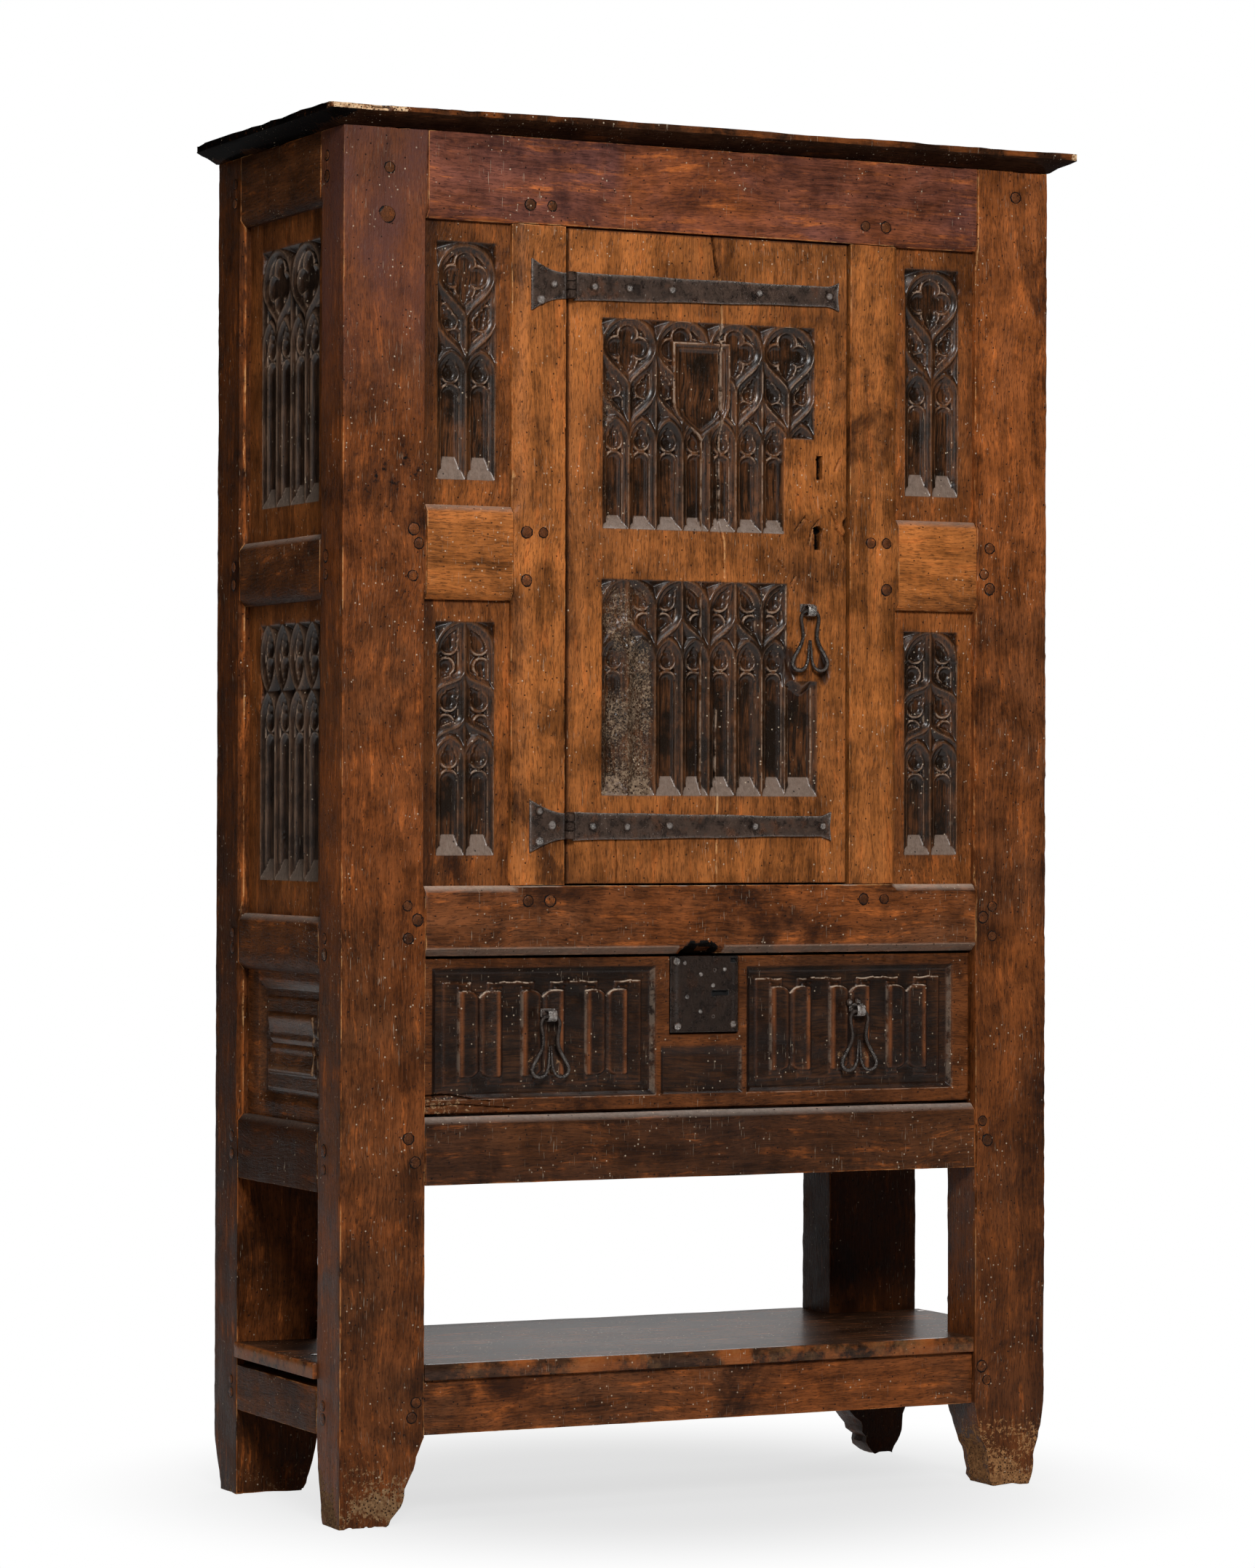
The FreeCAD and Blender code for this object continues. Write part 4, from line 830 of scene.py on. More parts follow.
# Each timber: lowest corner, highest corner, grain, finish, the faces whose openings cut it
timbers = {
    "top_rail_front": ([((-345.5, -179, 1438), (352.5, -141, 1535))], 0, "topRail", ("front",)),
    "middle_rail_front": ([((-345.5, -179, 624), (352.5, -141, 702))], 0, "rail", ("front",)),
    "drawer_rail_front": ([((-345.5, -179, 372), (352.5, -141, 447))], 0, "lowRail", ()),
    "stretcher_front": ([((-345.5, -173, 97), (352.5, -141, 157.5))], 0, "rail", ()),
    "muntin_left": ([((-241, -179, 702), (-177, -141, 1438))], 2, "muntin", ("front",)),
    "muntin_right": ([((184, -179, 702), (248, -141, 1438))], 2, "muntin", ("front",)),
    "cross_rails": ([((-345.5, -179, 1018), (-241, -141, 1123)),
        ((248, -179, 1018), (352.5, -141, 1123))], 0, "crossRail", ("front",)),
    **{f"side_{level}_rail_{side}": ([((x0, -113, z0), (x1, 127, z1))], 1, "sideRail", (side,))
        for side, (x0, x1) in sideWalls.items() for level, (z0, z1) in sideLevels.items()},
    "side_stretchers": ([((-446.5, -113, 97), (-408.5, 127, 149)),
        ((408.5, -113, 97), (446.5, 127, 149))], 1, "sideRail", ()),
    "top_rail_rear": ([((-345.5, 160, 1438), (326.5, 198, 1535))], 0, "rail", ()),
    "bottom_rail_rear": ([((-345.5, 160, 372), (326.5, 198, 447))], 0, "rail", ()),
    "stretcher_rear": ([((-345.5, 160, 97), (326.5, 198, 157.5))], 0, "rail", ()),
    "back_boards": ([((-355.5 + 173 * i, 171, 437), (-183.3 + 173 * i, 185, 1448)) for i in range(4)], 2,
        "plainUpright", ()),
    "cupboard_floor": ([((-417.5, -141, 667), (417.5, 15, 683)), ((-417.5, 15, 667), (417.5, 171, 683))],
        0, "plain", ()),
}


# The drawer opening is chamfered too: under the middle rail and on top of the drawer rail
drawerOpening = {"top": 632, "foot": 439, "run": 8, "deep": 11}


def drawerChamfers(name, co):
    x, y, z = co.T
    run, most = drawerOpening["run"], drawerOpening["deep"]
    if name == "middle_rail_front":
        deep = clip(most * (drawerOpening["top"] - z) / run, 0, most)
    elif name == "drawer_rail_front":
        deep = clip(most * (z - drawerOpening["foot"]) / run, 0, most)
    else:
        return co
    level = outerFaces["front"][1]
    y[:] = where(y < level + 14, maximum(y, level + deep), y)
    return co


# The wood is broken away above the lock plate
broken = {"x": -4.5, "half": 23, "top": 637.5, "drop": 9, "ragged": 2}


def brokenOut(piece):
    co = pointsOf(piece)
    x, y, z = co.T
    away = abs(x - broken["x"]) / broken["half"]
    ragged = broken["ragged"] * rough(co * (1, 0, 0) + 400, 5, 17)
    top = broken["top"] - broken["drop"] * bounded(away) ** 4 + ragged * (away < 1)
    inside = (away < 1) & (z < top) & (y < -150)
    lip = (away < 1.25) & (z < top + 4) & (y < -165) & ~inside
    y += where(inside, clip((top - z) * 2.4, 1.5, 15), 0) + where(lip, 1.2, 0)
    setPoints(piece, co)
    chamfer = (z < 632.5) & (y < -150) & ~inside & ~lip
    # painted shade: the hole is painted black and its lip partly darkened
    setValues(piece, soot=where(inside, 1.0, where(lip, 0.35, 0)),
        dust=maximum(valuesOf(piece, "dust"), 0.5 * chamfer))


# Where the two lock bolts enter the frame
boltKeeps = {
    "muntin_right": ((182, -150.5, 1089.5), (195.5, -144.5, 1104.5)),
    "middle_rail_front": ((-4, -164.5, 622), (11, -158.5, 635.5)),
}


def addTimbers():
    for index, (node, (boxes, axis, finish, faces)) in enumerate(timbers.items()):
        lengths = []
        for part, (low, high) in enumerate(boxes):
            rows = frontRows if "front" in faces else sideRows if faces else []
            if node in ("middle_rail_front", "drawer_rail_front"):
                rows = rows + [(2, drawerOpening["top"]), (2, drawerOpening["foot"]), (1, -168.0)]
            if node == "middle_rail_front":
                rows = rows + [(0, x) for x in np.arange(-34.0, 28.0, 2.2)] + [(2, z)
                    for z in (627.0, 629.5, 634.5, 637.0, 640.0)]
            piece = blank(low, high, axis, rows)
            weather(piece, low, high, axis, seed=index * 3 + part)
            for face in faces:
                sunk(piece, face)
            setPoints(piece, drawerChamfers(node, pointsOf(piece)))
            x, y, z = pointsOf(piece).T
            # dust with painted sheen: the top chamfers of the front rails are painted pale
            if axis == 0 and "front" in node and node != "stretcher_front" or node == "cross_rails":
                setValues(piece, dust=0.8 * ((z > high[2] - 10) & (y > -178.2) & (y < -150) & (z < 1200)))
            if node == "middle_rail_front":
                brokenOut(piece)
            # painted shade on the lower chamfers of the side rails, dust with painted sheen on their upper
            # chamfers
            if axis == 1 and faces:
                slope = (abs(x) < 446) & (abs(x) > 430)
                setValues(piece, dim=0.85 * (slope & (z < low[2] + 10)),
                    dust=0.6 * (slope & (z > high[2] - 10) & (high[2] < 1500)))
            # painted shade: the side bottom rails are painted darker all over
            if node.startswith("side_bottom_rail"):
                setValues(piece, dim=0.8)
            merged(piece)
            if node in boltKeeps:
                cutOut(piece, *boltKeeps[node])
            lengths.append(piece)
        finished(lengths, node + "_oak", 50, finishes[finish], "frame", node)


addTimbers()
print("rails, muntins and boards are cut")


# Posts, their feet worn away

posts = {
    "post_front_left": {"low": (-446.5, -179, 0), "high": (-345.5, -113, 1535),
        "faces": ("front", "left"), "pale": 0.85, "finish": "post",
        "foot": {"x": (0, 43), "y": (0, 16), "rise": 95}},
    "post_front_right": {"low": (352.5, -179, 0), "high": (446.5, -113, 1535),
        "faces": ("front", "right"), "pale": 1.25, "finish": "rightPost",
        "foot": {"x": (27, 21), "y": (0, 13), "rise": 95}},
    "post_rear_left": {"low": (-446.5, 127, 0), "high": (-345.5, 198, 1535), "faces": ("left",),
        "pale": 0.4, "finish": "rearPost", "foot": {"x": (0, 17), "y": (0, 24), "rise": 62}},
    "post_rear_right": {"low": (326.5, 127, 0), "high": (446.5, 198, 1535), "faces": ("right",),
        "pale": 0.25, "finish": "rearPost", "foot": {"x": (64, 30), "y": (0, 30), "rise": 120}},
}

# Scorch marks on the left post: x, z and size
scorchMarks = ((-372, 1170, 15), (-358, 1155, 12), (-407, 1150, 12), (-433, 1174, 7), (-385, 1144, 13),
    (-376, 1187, 8), (-398, 1160, 9), (-420, 1135, 10))


def addPost(node, spec, seed):
    low, high = asArrays(spec["low"], spec["high"])
    rows = (frontRows if "front" in spec["faces"] else []) + sideRows + [(2, 110.0), (2, 40.0)]
    if node == "post_front_left":
        rows = rows + [(0, x) for x in np.arange(-436.0, -352.0, 6.0)]
    piece = blank(low, high, 2, rows, step=7.0)
    weather(piece, low, high, 2, nick=1.4, seed=seed)
    for face in spec["faces"]:
        sunk(piece, face)
    co = pointsOf(piece)
    x, y, z = co.T
    rise = spec["foot"]["rise"]
    ragged = rough(np.c_[x * 0.2, y * 0.2, z] + 900 + seed, (30, 30, 16), seed + 1)
    down = bounded(1 + 0.06 * ragged - z / rise) ** 1.15
    for i, key in enumerate(("x", "y")):
        fromLow, fromHigh = spec["foot"][key]
        left = low[i] + fromLow * down * (1 + 0.10 * ragged)
        right = high[i] - fromHigh * down * (1 + 0.10 * ragged)
        share = (co[:, i] - low[i]) / (high[i] - low[i])
        co[:, i] = where(down > 0, left + share * (right - left), co[:, i])
    # the sole is crumbled at its rim
    rim = rimOf(x, y, low[0], high[0], low[1], high[1])
    z[:] = where((z < 0.5) & (rim > 0), bounded(rough(co + 300, 16, seed + 21)) * 5, z)
    setPoints(piece, co)
    merged(piece)
    co = pointsOf(piece)
    x, y, z = co.T
    eaten = bounded(1.15 - z / (rise * 0.9)) * (0.65 + 0.5 * rough(co + 50, 25, seed + 31))
    shaded = np.zeros(len(co))
    if node == "post_front_right":
        shaded = 0.5 * bounded((900 - z) / 500)
    if node == "post_rear_right":
        shaded = 0.7 * bounded((380 - z) / 40) * ((x < 340) | (y < 140))
    setValues(piece, rot=bounded(eaten) * spec["pale"], dim=shaded)
    if node == "post_front_left":
        scorch = np.zeros(len(co))
        for markX, markZ, size in scorchMarks:
            d = hypot(x - markX, (z - markZ) * 0.7) * (1 + 0.3 * rough(co + 77, 7, 3))
            scorch = maximum(scorch, bounded(1.2 - d / size))
        scorch *= y < -170
        stained = bounded((z - 1200) / 170) * bounded(0.8 + 0.5 * rough(co, (40, 40, 90), 7))
        setValues(piece, soot=scorch * 0.5, dim=maximum(shaded, scorch * 0.6), dust=stained)
    finished([piece], node + "_oak", 50, finishes[spec["finish"]], "frame", node)


for seedStep, (node, spec) in enumerate(posts.items()):
    addPost(node, spec, 60 + 9 * seedStep)
print("posts stand")


# Top board and shelf board

topBoard = {"low": (-473.5, -206, 1535), "high": (473.5, 206, 1556), "bevel": 14, "run": (25, 25, 6)}


def addTopBoard():
    low, high = asArrays(topBoard["low"], topBoard["high"])
    side, front, rear = topBoard["run"]
    rows = [(0, low[0] + side), (0, high[0] - side), (1, low[1] + front), (1, high[1] - rear)]
    rows.append((2, low[2] + topBoard["bevel"]))
    piece = blank(low, high, 0, rows, step=6.0)
    co = pointsOf(piece)
    x, y, z = co.T
    flat = (co + 2000) * (1, 1, 0)
    # bevel under the overhang
    beyond = highest((low[0] + side - x) / side, (x - high[0] + side) / side,
        (low[1] + front - y) / front, (y - high[1] + rear) / rear, 0)
    z[:] = maximum(z, low[2] + topBoard["bevel"] * bounded(beyond))
    # broken and weathered rim, worst at the left end and along the front from its left corner
    crumbled = bounded(rough(flat, 26, 5))
    left = bounded((low[0] + 60 - x) / 60)
    frontLeft = bounded((-180 - x) / 140) * bounded((low[1] + 14 - y) / 14)
    tip = bounded((x - high[0] + 26) / 26)
    bite = 0.8 + 1.2 * crumbled + 5 * crumbled * bounded(left + frontLeft + 0.5 * tip)
    for i in range(2):
        for end, sign in ((low[i], 1), (high[i], -1)):
            at = abs(co[:, i] - end) < 0.01
            co[:, i] += where(at, sign * bite * (1.0 if i == 1 else 1.3), 0)
    drop = bounded(rough(flat, 60, 7)) * 1.4 + frontLeft * (1.5 + 2.5 * crumbled) + left * 2.2 * crumbled
    z -= where(z > high[2] - 0.01, drop, 0)
    setPoints(piece, co)
    merged(piece)
    co = pointsOf(piece)
    x, y, z = co.T
    edge = rimOf(x, y, low[0], high[0], low[1], high[1])
    frontLeft = bounded((-368 - x) / 22) * bounded((low[1] + 16 - y) / 8) * bounded(0.8 + 0.5 * rough(co,
        14, 9))
    tip = bounded((x - high[0] + 14) / 12) * bounded((low[1] + 30 - y) / 20)
    upper = z > low[2] + 13
    # painted shade: the left end and the bevel under it go near black, and the bevel under the overhang is
    # darker than the top
    shadedEnd = bounded((low[0] + 34 - x + 16 * rough(co, 30, 15)) / 12) * bounded(1 - frontLeft * upper * 1.5)
    setValues(piece, rot=bounded(frontLeft + tip) * upper * 0.9, arris=exp(-abs(edge) / 5) * 0.5 * upper,
        soot=0.72 * shadedEnd, dim=where(upper, 0.25, 0.45))
    finished([piece], "top_board_oak", 45, finishes["top"], "frame", "top_board")


addTopBoard()

shelf = {"low": (-450.5, -179, 157.5), "high": (450.5, 198, 175.5), "gap": 0.6}


def addShelf():
    low, high = asArrays(shelf["low"], shelf["high"])
    piece = boxBetween(low, high)
    # each post passes through a notch that stays open outwards
    for spec in posts.values():
        a, b = asArrays(spec["low"], spec["high"])
        a, b = np.array([a[0] - 20, a[1] - 20, 100]), np.array([b[0] + 20, b[1] + 20, 220])
        for i in range(2):
            if spec["low"][i] < 0:
                b[i] -= 20 - shelf["gap"]
            else:
                a[i] += 20 - shelf["gap"]
        cutOut(piece, a, b)
    modified(piece, "BEVEL", width=1.4 * mm, segments=2, limit_method="ANGLE", angle_limit=math.radians(40))
    pick(piece)
    bpy.ops.object.mode_set(mode="EDIT")
    cutRows(0, np.arange(-440, 441, 10.0))
    cutRows(1, np.arange(-170, 190, 20.0))
    closed()
    co = pointsOf(piece)
    x, y, z = co.T
    spots = co + 5000
    z -= where(z > high[2] - 1.5, clip(0.4 + 0.5 * rough(spots * (1, 1, 0), (160, 90, 50), 3), 0, 1.2), 0)
    y += where(y < low[1] + 1.5, clip(0.4 + 0.8 * rough(spots, (40, 40, 30), 4), 0, 2), 0)
    setPoints(piece, co)
    merged(piece, 0.1)
    x, y, z = pointsOf(piece).T
    near = minimum(abs(y - low[1]), minimum(abs(x - low[0]), abs(high[0] - x)))
    setValues(piece, arris=exp(-near / 2.5) * 0.7)
    finished([piece], "shelf_board_oak", 45, finishes["shelf"], "frame", "shelf_board")


addShelf()
print("top board and shelf are on")


# Carved plates

def curved(a, b, c, d, count=14):
    t = np.linspace(0, 1, count + 1)[:, None]
    a, b, c, d = (np.array(p, float) for p in (a, b, c, d))
    return (1 - t) ** 3 * a + 3 * (1 - t) ** 2 * t * b + 3 * (1 - t) * t ** 2 * c + t ** 3 * d


def nearLine(u, v, points):
    best = np.full(u.shape, 1e3)
    for (ax, ay), (bx, by) in zip(points[:-1], points[1:]):
        dx, dy = bx - ax, by - ay
        t = bounded(((u - ax) * dx + (v - ay) * dy) / (dx * dx + dy * dy + 1e-9))
        best = minimum(best, hypot(u - ax - t * dx, v - ay - t * dy))
    return best


# Distance to a group of circles, below zero inside them
def nearCircles(u, v, circles):
    best = np.full(u.shape, 1e3)
    for cu, cv, r in circles:
        best = minimum(best, hypot(u - cu, v - cv) - r)
    return best


# Distance to a pointed arch of a column, below zero inside it; c runs from the column's middle
def pointed(c, v, half, spring, apex):
    rise = apex - spring
    radius = (half * half + rise * rise) / (2 * half)
    return hypot(c + radius - half, maximum(v - spring, 0)) - radius


def hollowed(t):
    return 0.45 * t + 0.55 * np.sqrt(bounded(1 - (1 - t) ** 2))


# First order of a rib: flat arris, hollow to about half depth, then straight down
def ribDepth(d, g):
    return 0.46 * g * hollowed(bounded((d - 1.1) / 5.2)) + 0.54 * g * bounded((d - 7.0) / 1.4)


# Second order: a hollow wall from the plate down to the flat floor of the foil; outside the foil the
# plate runs to the rib, pierced by small eyes where there is room
def foilDepth(edge, floor, g):
    down = bounded(-edge / maximum(maximum(floor, 0) - edge, 0.01))
    inside = 0.44 * g + 0.56 * g * hollowed(down)
    outside = 0.44 * g + 0.56 * g * bounded((edge - 2.2) / 1.2)
    return where(edge < 0, inside, outside)


def slopeDepth(d, g, run=9.0):
    return g * bounded((d - 1.2) / run)


# Sloping sills at the foot of the lights and a slope along the field's top edge
def closeField(depth, v, win):
    g = win["ground"]
    depth = minimum(depth, 0.5 + (g - 0.5) * bounded(v / win["sill"]))
    return minimum(depth, clip((win["top"] - v) * 1.1, 0, g))


# Where the sill shows: as deep as its slope
def sillAt(depth, v, win):
    slope = 0.5 + (win["ground"] - 0.5) * bounded(v / win["sill"])
    return ((v > 0.3) & (v < win["sill"] + 0.6) & (abs(depth - slope) < 0.5)).astype(float)


def columns(u, win):
    half = win["half"]
    m = abs((u % (2 * half)) - half)
    return m, abs(m - half / 2)


# Lights at the foot: pointed heads over round-headed lights with a drop-shaped eye
def lightsRelief(depth, c, v, win):
    g, w = win["ground"], win["half"] / 2
    spring, apex, bar = win["spring"], win["apex"], win["bar"]
    low = v <= spring
    arch = pointed(c, v, w, spring, apex)
    above = where(arch > 0, slopeDepth(arch, g, 8.0), ribDepth(-arch, g))
    depth = lowest(depth, where(low, ribDepth(w - c, g), above))
    rise = apex - spring
    drop = nearCircles(c, v, [(0, spring + 0.04 * rise, 0.53 * w), (0, spring + 0.36 * rise, 0.36 * w),
        (0, spring + 0.62 * rise, 0.17 * w)])
    head = bar - 0.62 * w - 1.5
    light = hypot(c, maximum(v - head, 0)) - 0.60 * w
    eye = minimum(drop, light)
    inWindow = low | (arch < 0)
    return minimum(depth, where(inWindow, foilDepth(eye, eye + 4.2, g), 1e3))


# The arch over a column: a slope outside its ring, the first rib inside
def ringDepth(ring, above, g):
    return where(above, where(ring > 0, slopeDepth(ring, g), ribDepth(-ring, g)), 1e3)


# Round heads with four lobes over a tear-shaped rib, and a second swung rib below
def headRelief(u, v, win):
    g, half, radius = win["ground"], win["half"], win["radius"]
    m, c = columns(u, win)
    vc, tip = win["centre"], win["tip"]
    k = radius / 33
    ring = hypot(m, v - vc) - radius
    tear = nearLine(m, v, curved((radius, vc), (radius, vc - 20 * k), (0, tip + 16 * k), (0, tip)))
    sides, rib = hypot(half - m, maximum(v - vc, 0)), hypot(m, maximum(v - tip, 0))
    depth = lowest(g, ringDepth(ring, v >= vc, g), ribDepth(lowest(tear, sides, rib), g))
    foils = [(14.4 * k, vc, 11.2 * k), (0, vc + 14.4 * k, 11.2 * k), (0, vc - 13.5 * k, 10.4 * k),
        (0, vc, 11.5 * k), (0, vc - 23 * k, 7.6 * k), (0, vc - 30 * k, 4.6 * k)]
    if "swing" in win:
        start, end = win["swing"]
        swung = nearLine(m, v, curved((half, start), (half, start - 22), (0, end + 18), (0, end)))
        depth = minimum(depth, ribDepth(swung, g))
        down = end - 110.5
        foils += [(25 * k, 171.5 + down, 4.6 * k), (22 * k, 165 + down, 6.6 * k),
            (18.6 * k, 157.5 + down, 8.6 * k), (13.4 * k, 141 + down, 8.4 * k),
            (10.2 * k, 132.5 + down, 6.2 * k), (8 * k, 126 + down, 4.2 * k)]
    eye = nearCircles(m, v, foils)
    floor = minimum(eye + 4.2, hypot(m, v - vc) - 11 * k)
    free = (v > win["apex"] + 3) & ((v < vc) | (ring < 0))
    depth = minimum(depth, where(free, foilDepth(eye, floor, g), 1e3))
    return closeField(lightsRelief(depth, c, v, win), v, win)


# A round arch with a middle rib and one or two pairs of swung ribs under it
def archRelief(u, v, win):
    g, half, radius = win["ground"], win["half"], win["radius"]
    m, c = columns(u, win)
    vc = win["centre"]
    ring = hypot(m, v - vc) - radius
    sides = hypot(half - m, maximum(v - vc, 0))
    depth = lowest(g, ringDepth(ring, v >= vc, g), ribDepth(lowest(sides, m), g))
    foils = []
    for start, end, upper in win["swings"]:
        swung = nearLine(m, v, curved((0, start), (0, start - 20), (half, end + 21), (half, end)))
        depth = minimum(depth, ribDepth(swung, g))
        foils += [(18.6, upper, 10.0), (15.0, upper + 8, 7.4), (12.0, upper + 14, 4.8),
            (21.5, upper - 24.5, 8.6), (23.5, upper - 33, 6.4), (25.5, upper - 40, 4.2)]
    eye = nearCircles(m, v, foils)
    free = (v > win["apex"] + 4) & ((v < vc) | (ring < 0))
    depth = minimum(depth, where(free, foilDepth(eye, eye + 4.2, g), 1e3))
    return closeField(lightsRelief(depth, c, v, win), v, win)


# Rows of pointed ovals over pointed lights
def ovalRelief(u, v, win):
    g, w = win["ground"], win["half"] / 2
    c = columns(u, win)[1]
    depth = np.full(u.shape, g)
    middle, rise = win["oval"]
    oval = pointed(c, abs(v - middle), w, 0, rise)
    depth = minimum(depth, where(oval > 0, slopeDepth(oval, g, 7.0), ribDepth(-oval, g)))
    eye = nearCircles(c, abs(v - middle), [(0, 10.0, 0.50 * w), (0, 18.0, 0.36 * w), (0, 25.0, 0.18 * w)])
    depth = minimum(depth, where(oval < 0, foilDepth(eye, eye + 4.2, g), 1e3))
    return closeField(lightsRelief(depth, c, v, win), v, win)


windows = {
    "doorUpper": {"half": 33.8, "ground": 9, "radius": 33, "centre": 204.5, "tip": 159,
        "swing": (160, 110.5), "spring": 98.5, "apex": 124.5, "bar": 88.5, "sill": 15.5, "top": 237.5},
    "doorLower": {"half": 33.8, "ground": 9, "radius": 33.5, "centre": 210.5,
        "swings": ((206, 160, 221),), "spring": 152, "apex": 177, "bar": 141.5, "sill": 22, "top": 244},
    "frontUpper": {"half": 36, "ground": 8, "radius": 34, "centre": 226, "tip": 177, "swing": (179, 128),
        "spring": 117, "apex": 142, "bar": 107, "sill": 25, "top": 265},
    "frontLower": {"half": 36, "ground": 8, "radius": 35, "centre": 224,
        "swings": ((207, 175, 234), (156, 122, 171)), "spring": 107, "apex": 131, "bar": 95.5, "sill": 23,
        "top": 260},
    "sideUpper": {"half": 43, "ground": 8, "radius": 41, "centre": 251, "tip": 203, "spring": 180,
        "apex": 212, "bar": 168, "sill": 22, "top": 294},
    "sideLower": {"half": 44, "ground": 8, "oval": (253, 38), "spring": 180, "apex": 214, "bar": 168,
        "sill": 24, "top": 291},
}


# Lines of a grid: fine within the given spans, coarse between them
def gridLines(low, high, fineSpans, fine=1.0, coarse=6.0):
    stops = sorted({low, high, *(s for span in fineSpans for s in span)})
    places = [low]
    for a, b in zip(stops, stops[1:]):
        step = fine if any(s <= a and b <= e for s, e in fineSpans) else coarse
        places += list(np.linspace(a, b, max(1, round((b - a) / step)) + 1)[1:])
    return np.array(places)


def softened(grid, times):
    for _ in range(times):
        edge = np.pad(grid, 1, mode="edge")
        grid = 0.5 * edge[1:-1, 1:-1] + 0.125 * (edge[:-2, 1:-1] + edge[2:, 1:-1] + edge[1:-1, :-2]
            + edge[1:-1, 2:])
    return grid


# A board seen from its face: a grid pushed back by the depths of its carving, closed behind
def carvedBoard(name, facing, face, thick, us, vs, depth, **values):
    cleared()
    bpy.ops.mesh.primitive_grid_add(x_subdivisions=len(us) - 1, y_subdivisions=len(vs) - 1, size=1,
        location=(0, 0, 0))
    piece = bpy.context.object
    piece.name = piece.data.name = name
    unit = pointsOf(piece) * mm
    iu = np.rint((unit[:, 0] + 0.5) * (len(us) - 1)).astype(int)
    iv = np.rint((unit[:, 1] + 0.5) * (len(vs) - 1)).astype(int)
    axis, inward = {"front": (1, 1), "left": (0, 1), "right": (0, -1)}[facing]
    co = np.zeros((len(iu), 3))
    co[:, axis] = face + inward * depth[iv, iu]
    co[:, 1 - axis] = -us[iu] if facing == "left" else us[iu]
    co[:, 2] = vs[iv]
    setPoints(piece, co)
    setValues(piece, **{key: grid[iv, iu] for key, grid in values.items()})
    count = len(piece.data.vertices)
    bpy.ops.object.mode_set(mode="EDIT")
    bpy.ops.mesh.select_mode(type="EDGE")
    bpy.ops.mesh.select_all(action="DESELECT")
    bpy.ops.mesh.select_non_manifold()
    bpy.ops.mesh.extrude_region_move()
    bpy.ops.mesh.edge_face_add()
    closed()
    co = pointsOf(piece)
    co[count:, axis] = face + inward * thick
    setPoints(piece, co)
    # the sawn back is plain
    for key in values:
        data = valuesOf(piece, key)
        data[count:] = 0
        setValues(piece, **{key: data})
    opened(piece)
    bpy.ops.mesh.normals_make_consistent(inside=False)
    closed()
    smoothed(piece, 60)
    return piece


# Ridge and hollow values for the finish, from how the depth differs from its surroundings
def reliefValues(depth, carved):
    wide = softened(depth, 14)
    ridge = bounded((wide - depth) / 1.1) * carved
    hollow = bounded((depth - wide) / 2.0) * carved
    return ridge, hollow


# Lets a zone of the carving lose its edges and turn rough
def wornDown(depth, amount, across, up, seed):
    flat = softened(depth, 22)
    points = facePoints(across, up, 700)
    grit = rough(points, (4.5, 7, 5), seed, 3)
    coarse = rough(points, (14, 22, 9), seed + 2, 2)
    return depth + amount * ((flat - depth) * 0.75 + 0.9 * abs(grit) + 0.8 * bounded(coarse))


# A crack along a broken line: width and depth in millimetres
def crack(depth, across, up, line, width, deep):
    line = np.array(line, float)
    d = nearLine(across + 0.6 * np.sin(up / 17.0) + 0.3 * np.sin(up / 5.3), up, line)
    return maximum(depth, depth + deep * bounded(1.15 - d / (width / 2)))


def keyholeDepth(depth, across, up, x, low, high, head):
    slot = maximum(abs(across - x) - door["keySlot"], maximum(low - up, up - high))
    slot = minimum(slot, hypot(across - x, up - (high - 3.5)) - head)
    return where(slot < 0, 14.0, depth + 0.8 * bounded(1 - abs(slot) / 2.0))


# The door seen from its face; keyholes by x, foot, top and size of the round head, lobes of the handle
# by x, width, height and depth
door = {
    "left": -175, "right": 181, "joint": 10.5, "bottom": 704, "top": 1436, "face": -179, "thick": 25,
    "fieldLeft": -132.5, "columnEnd": 98.5, "fieldRight": 137.5, "upper": (1101.5, 1339), "step": 1211,
    "lower": (802, 1046), "lowerStep": 934, "lowerRight": 141.5,
    "keyholes": ((144, 1166, 1192, 4), (142, 1085, 1110, 5.2)),
    "keySlot": 3.3, "lobesAt": 950,
    "lobes": ((104, 13, 24, 5.5), (151, 9, 21, 3.5)),
    "leftCrack": [(-113, 704), (-112.5, 735), (-114, 762)],
    "topCrack": [(6, 1437), (9, 1418), (13.5, 1392)],
    "splits": [[(13.5, 1392), (17, 1345), (18, 1300), (17.5, 1200), (18, 1102), (21, 1090), (21.5, 1050)],
        [(12, 704), (11.8, 760), (13, 800), (15, 900)]],
    "scars": [[(115, 1195), (121, 1179)], [(171, 1190), (164.5, 1176)], [(113, 1106), (126, 1122)],
        [(126, 1122), (131, 1118)], [(158, 1131), (168, 1114)], [(167, 1109), (175, 1101)],
        [(130, 1090), (135, 1109), (144, 1119)], [(113, 1053), (108, 1045)], [(164, 1051), (167, 1046)],
        [(60, 1428), (69, 1424)], [(150, 1340), (154, 1322)], [(92, 1072), (99, 1064)]],
}


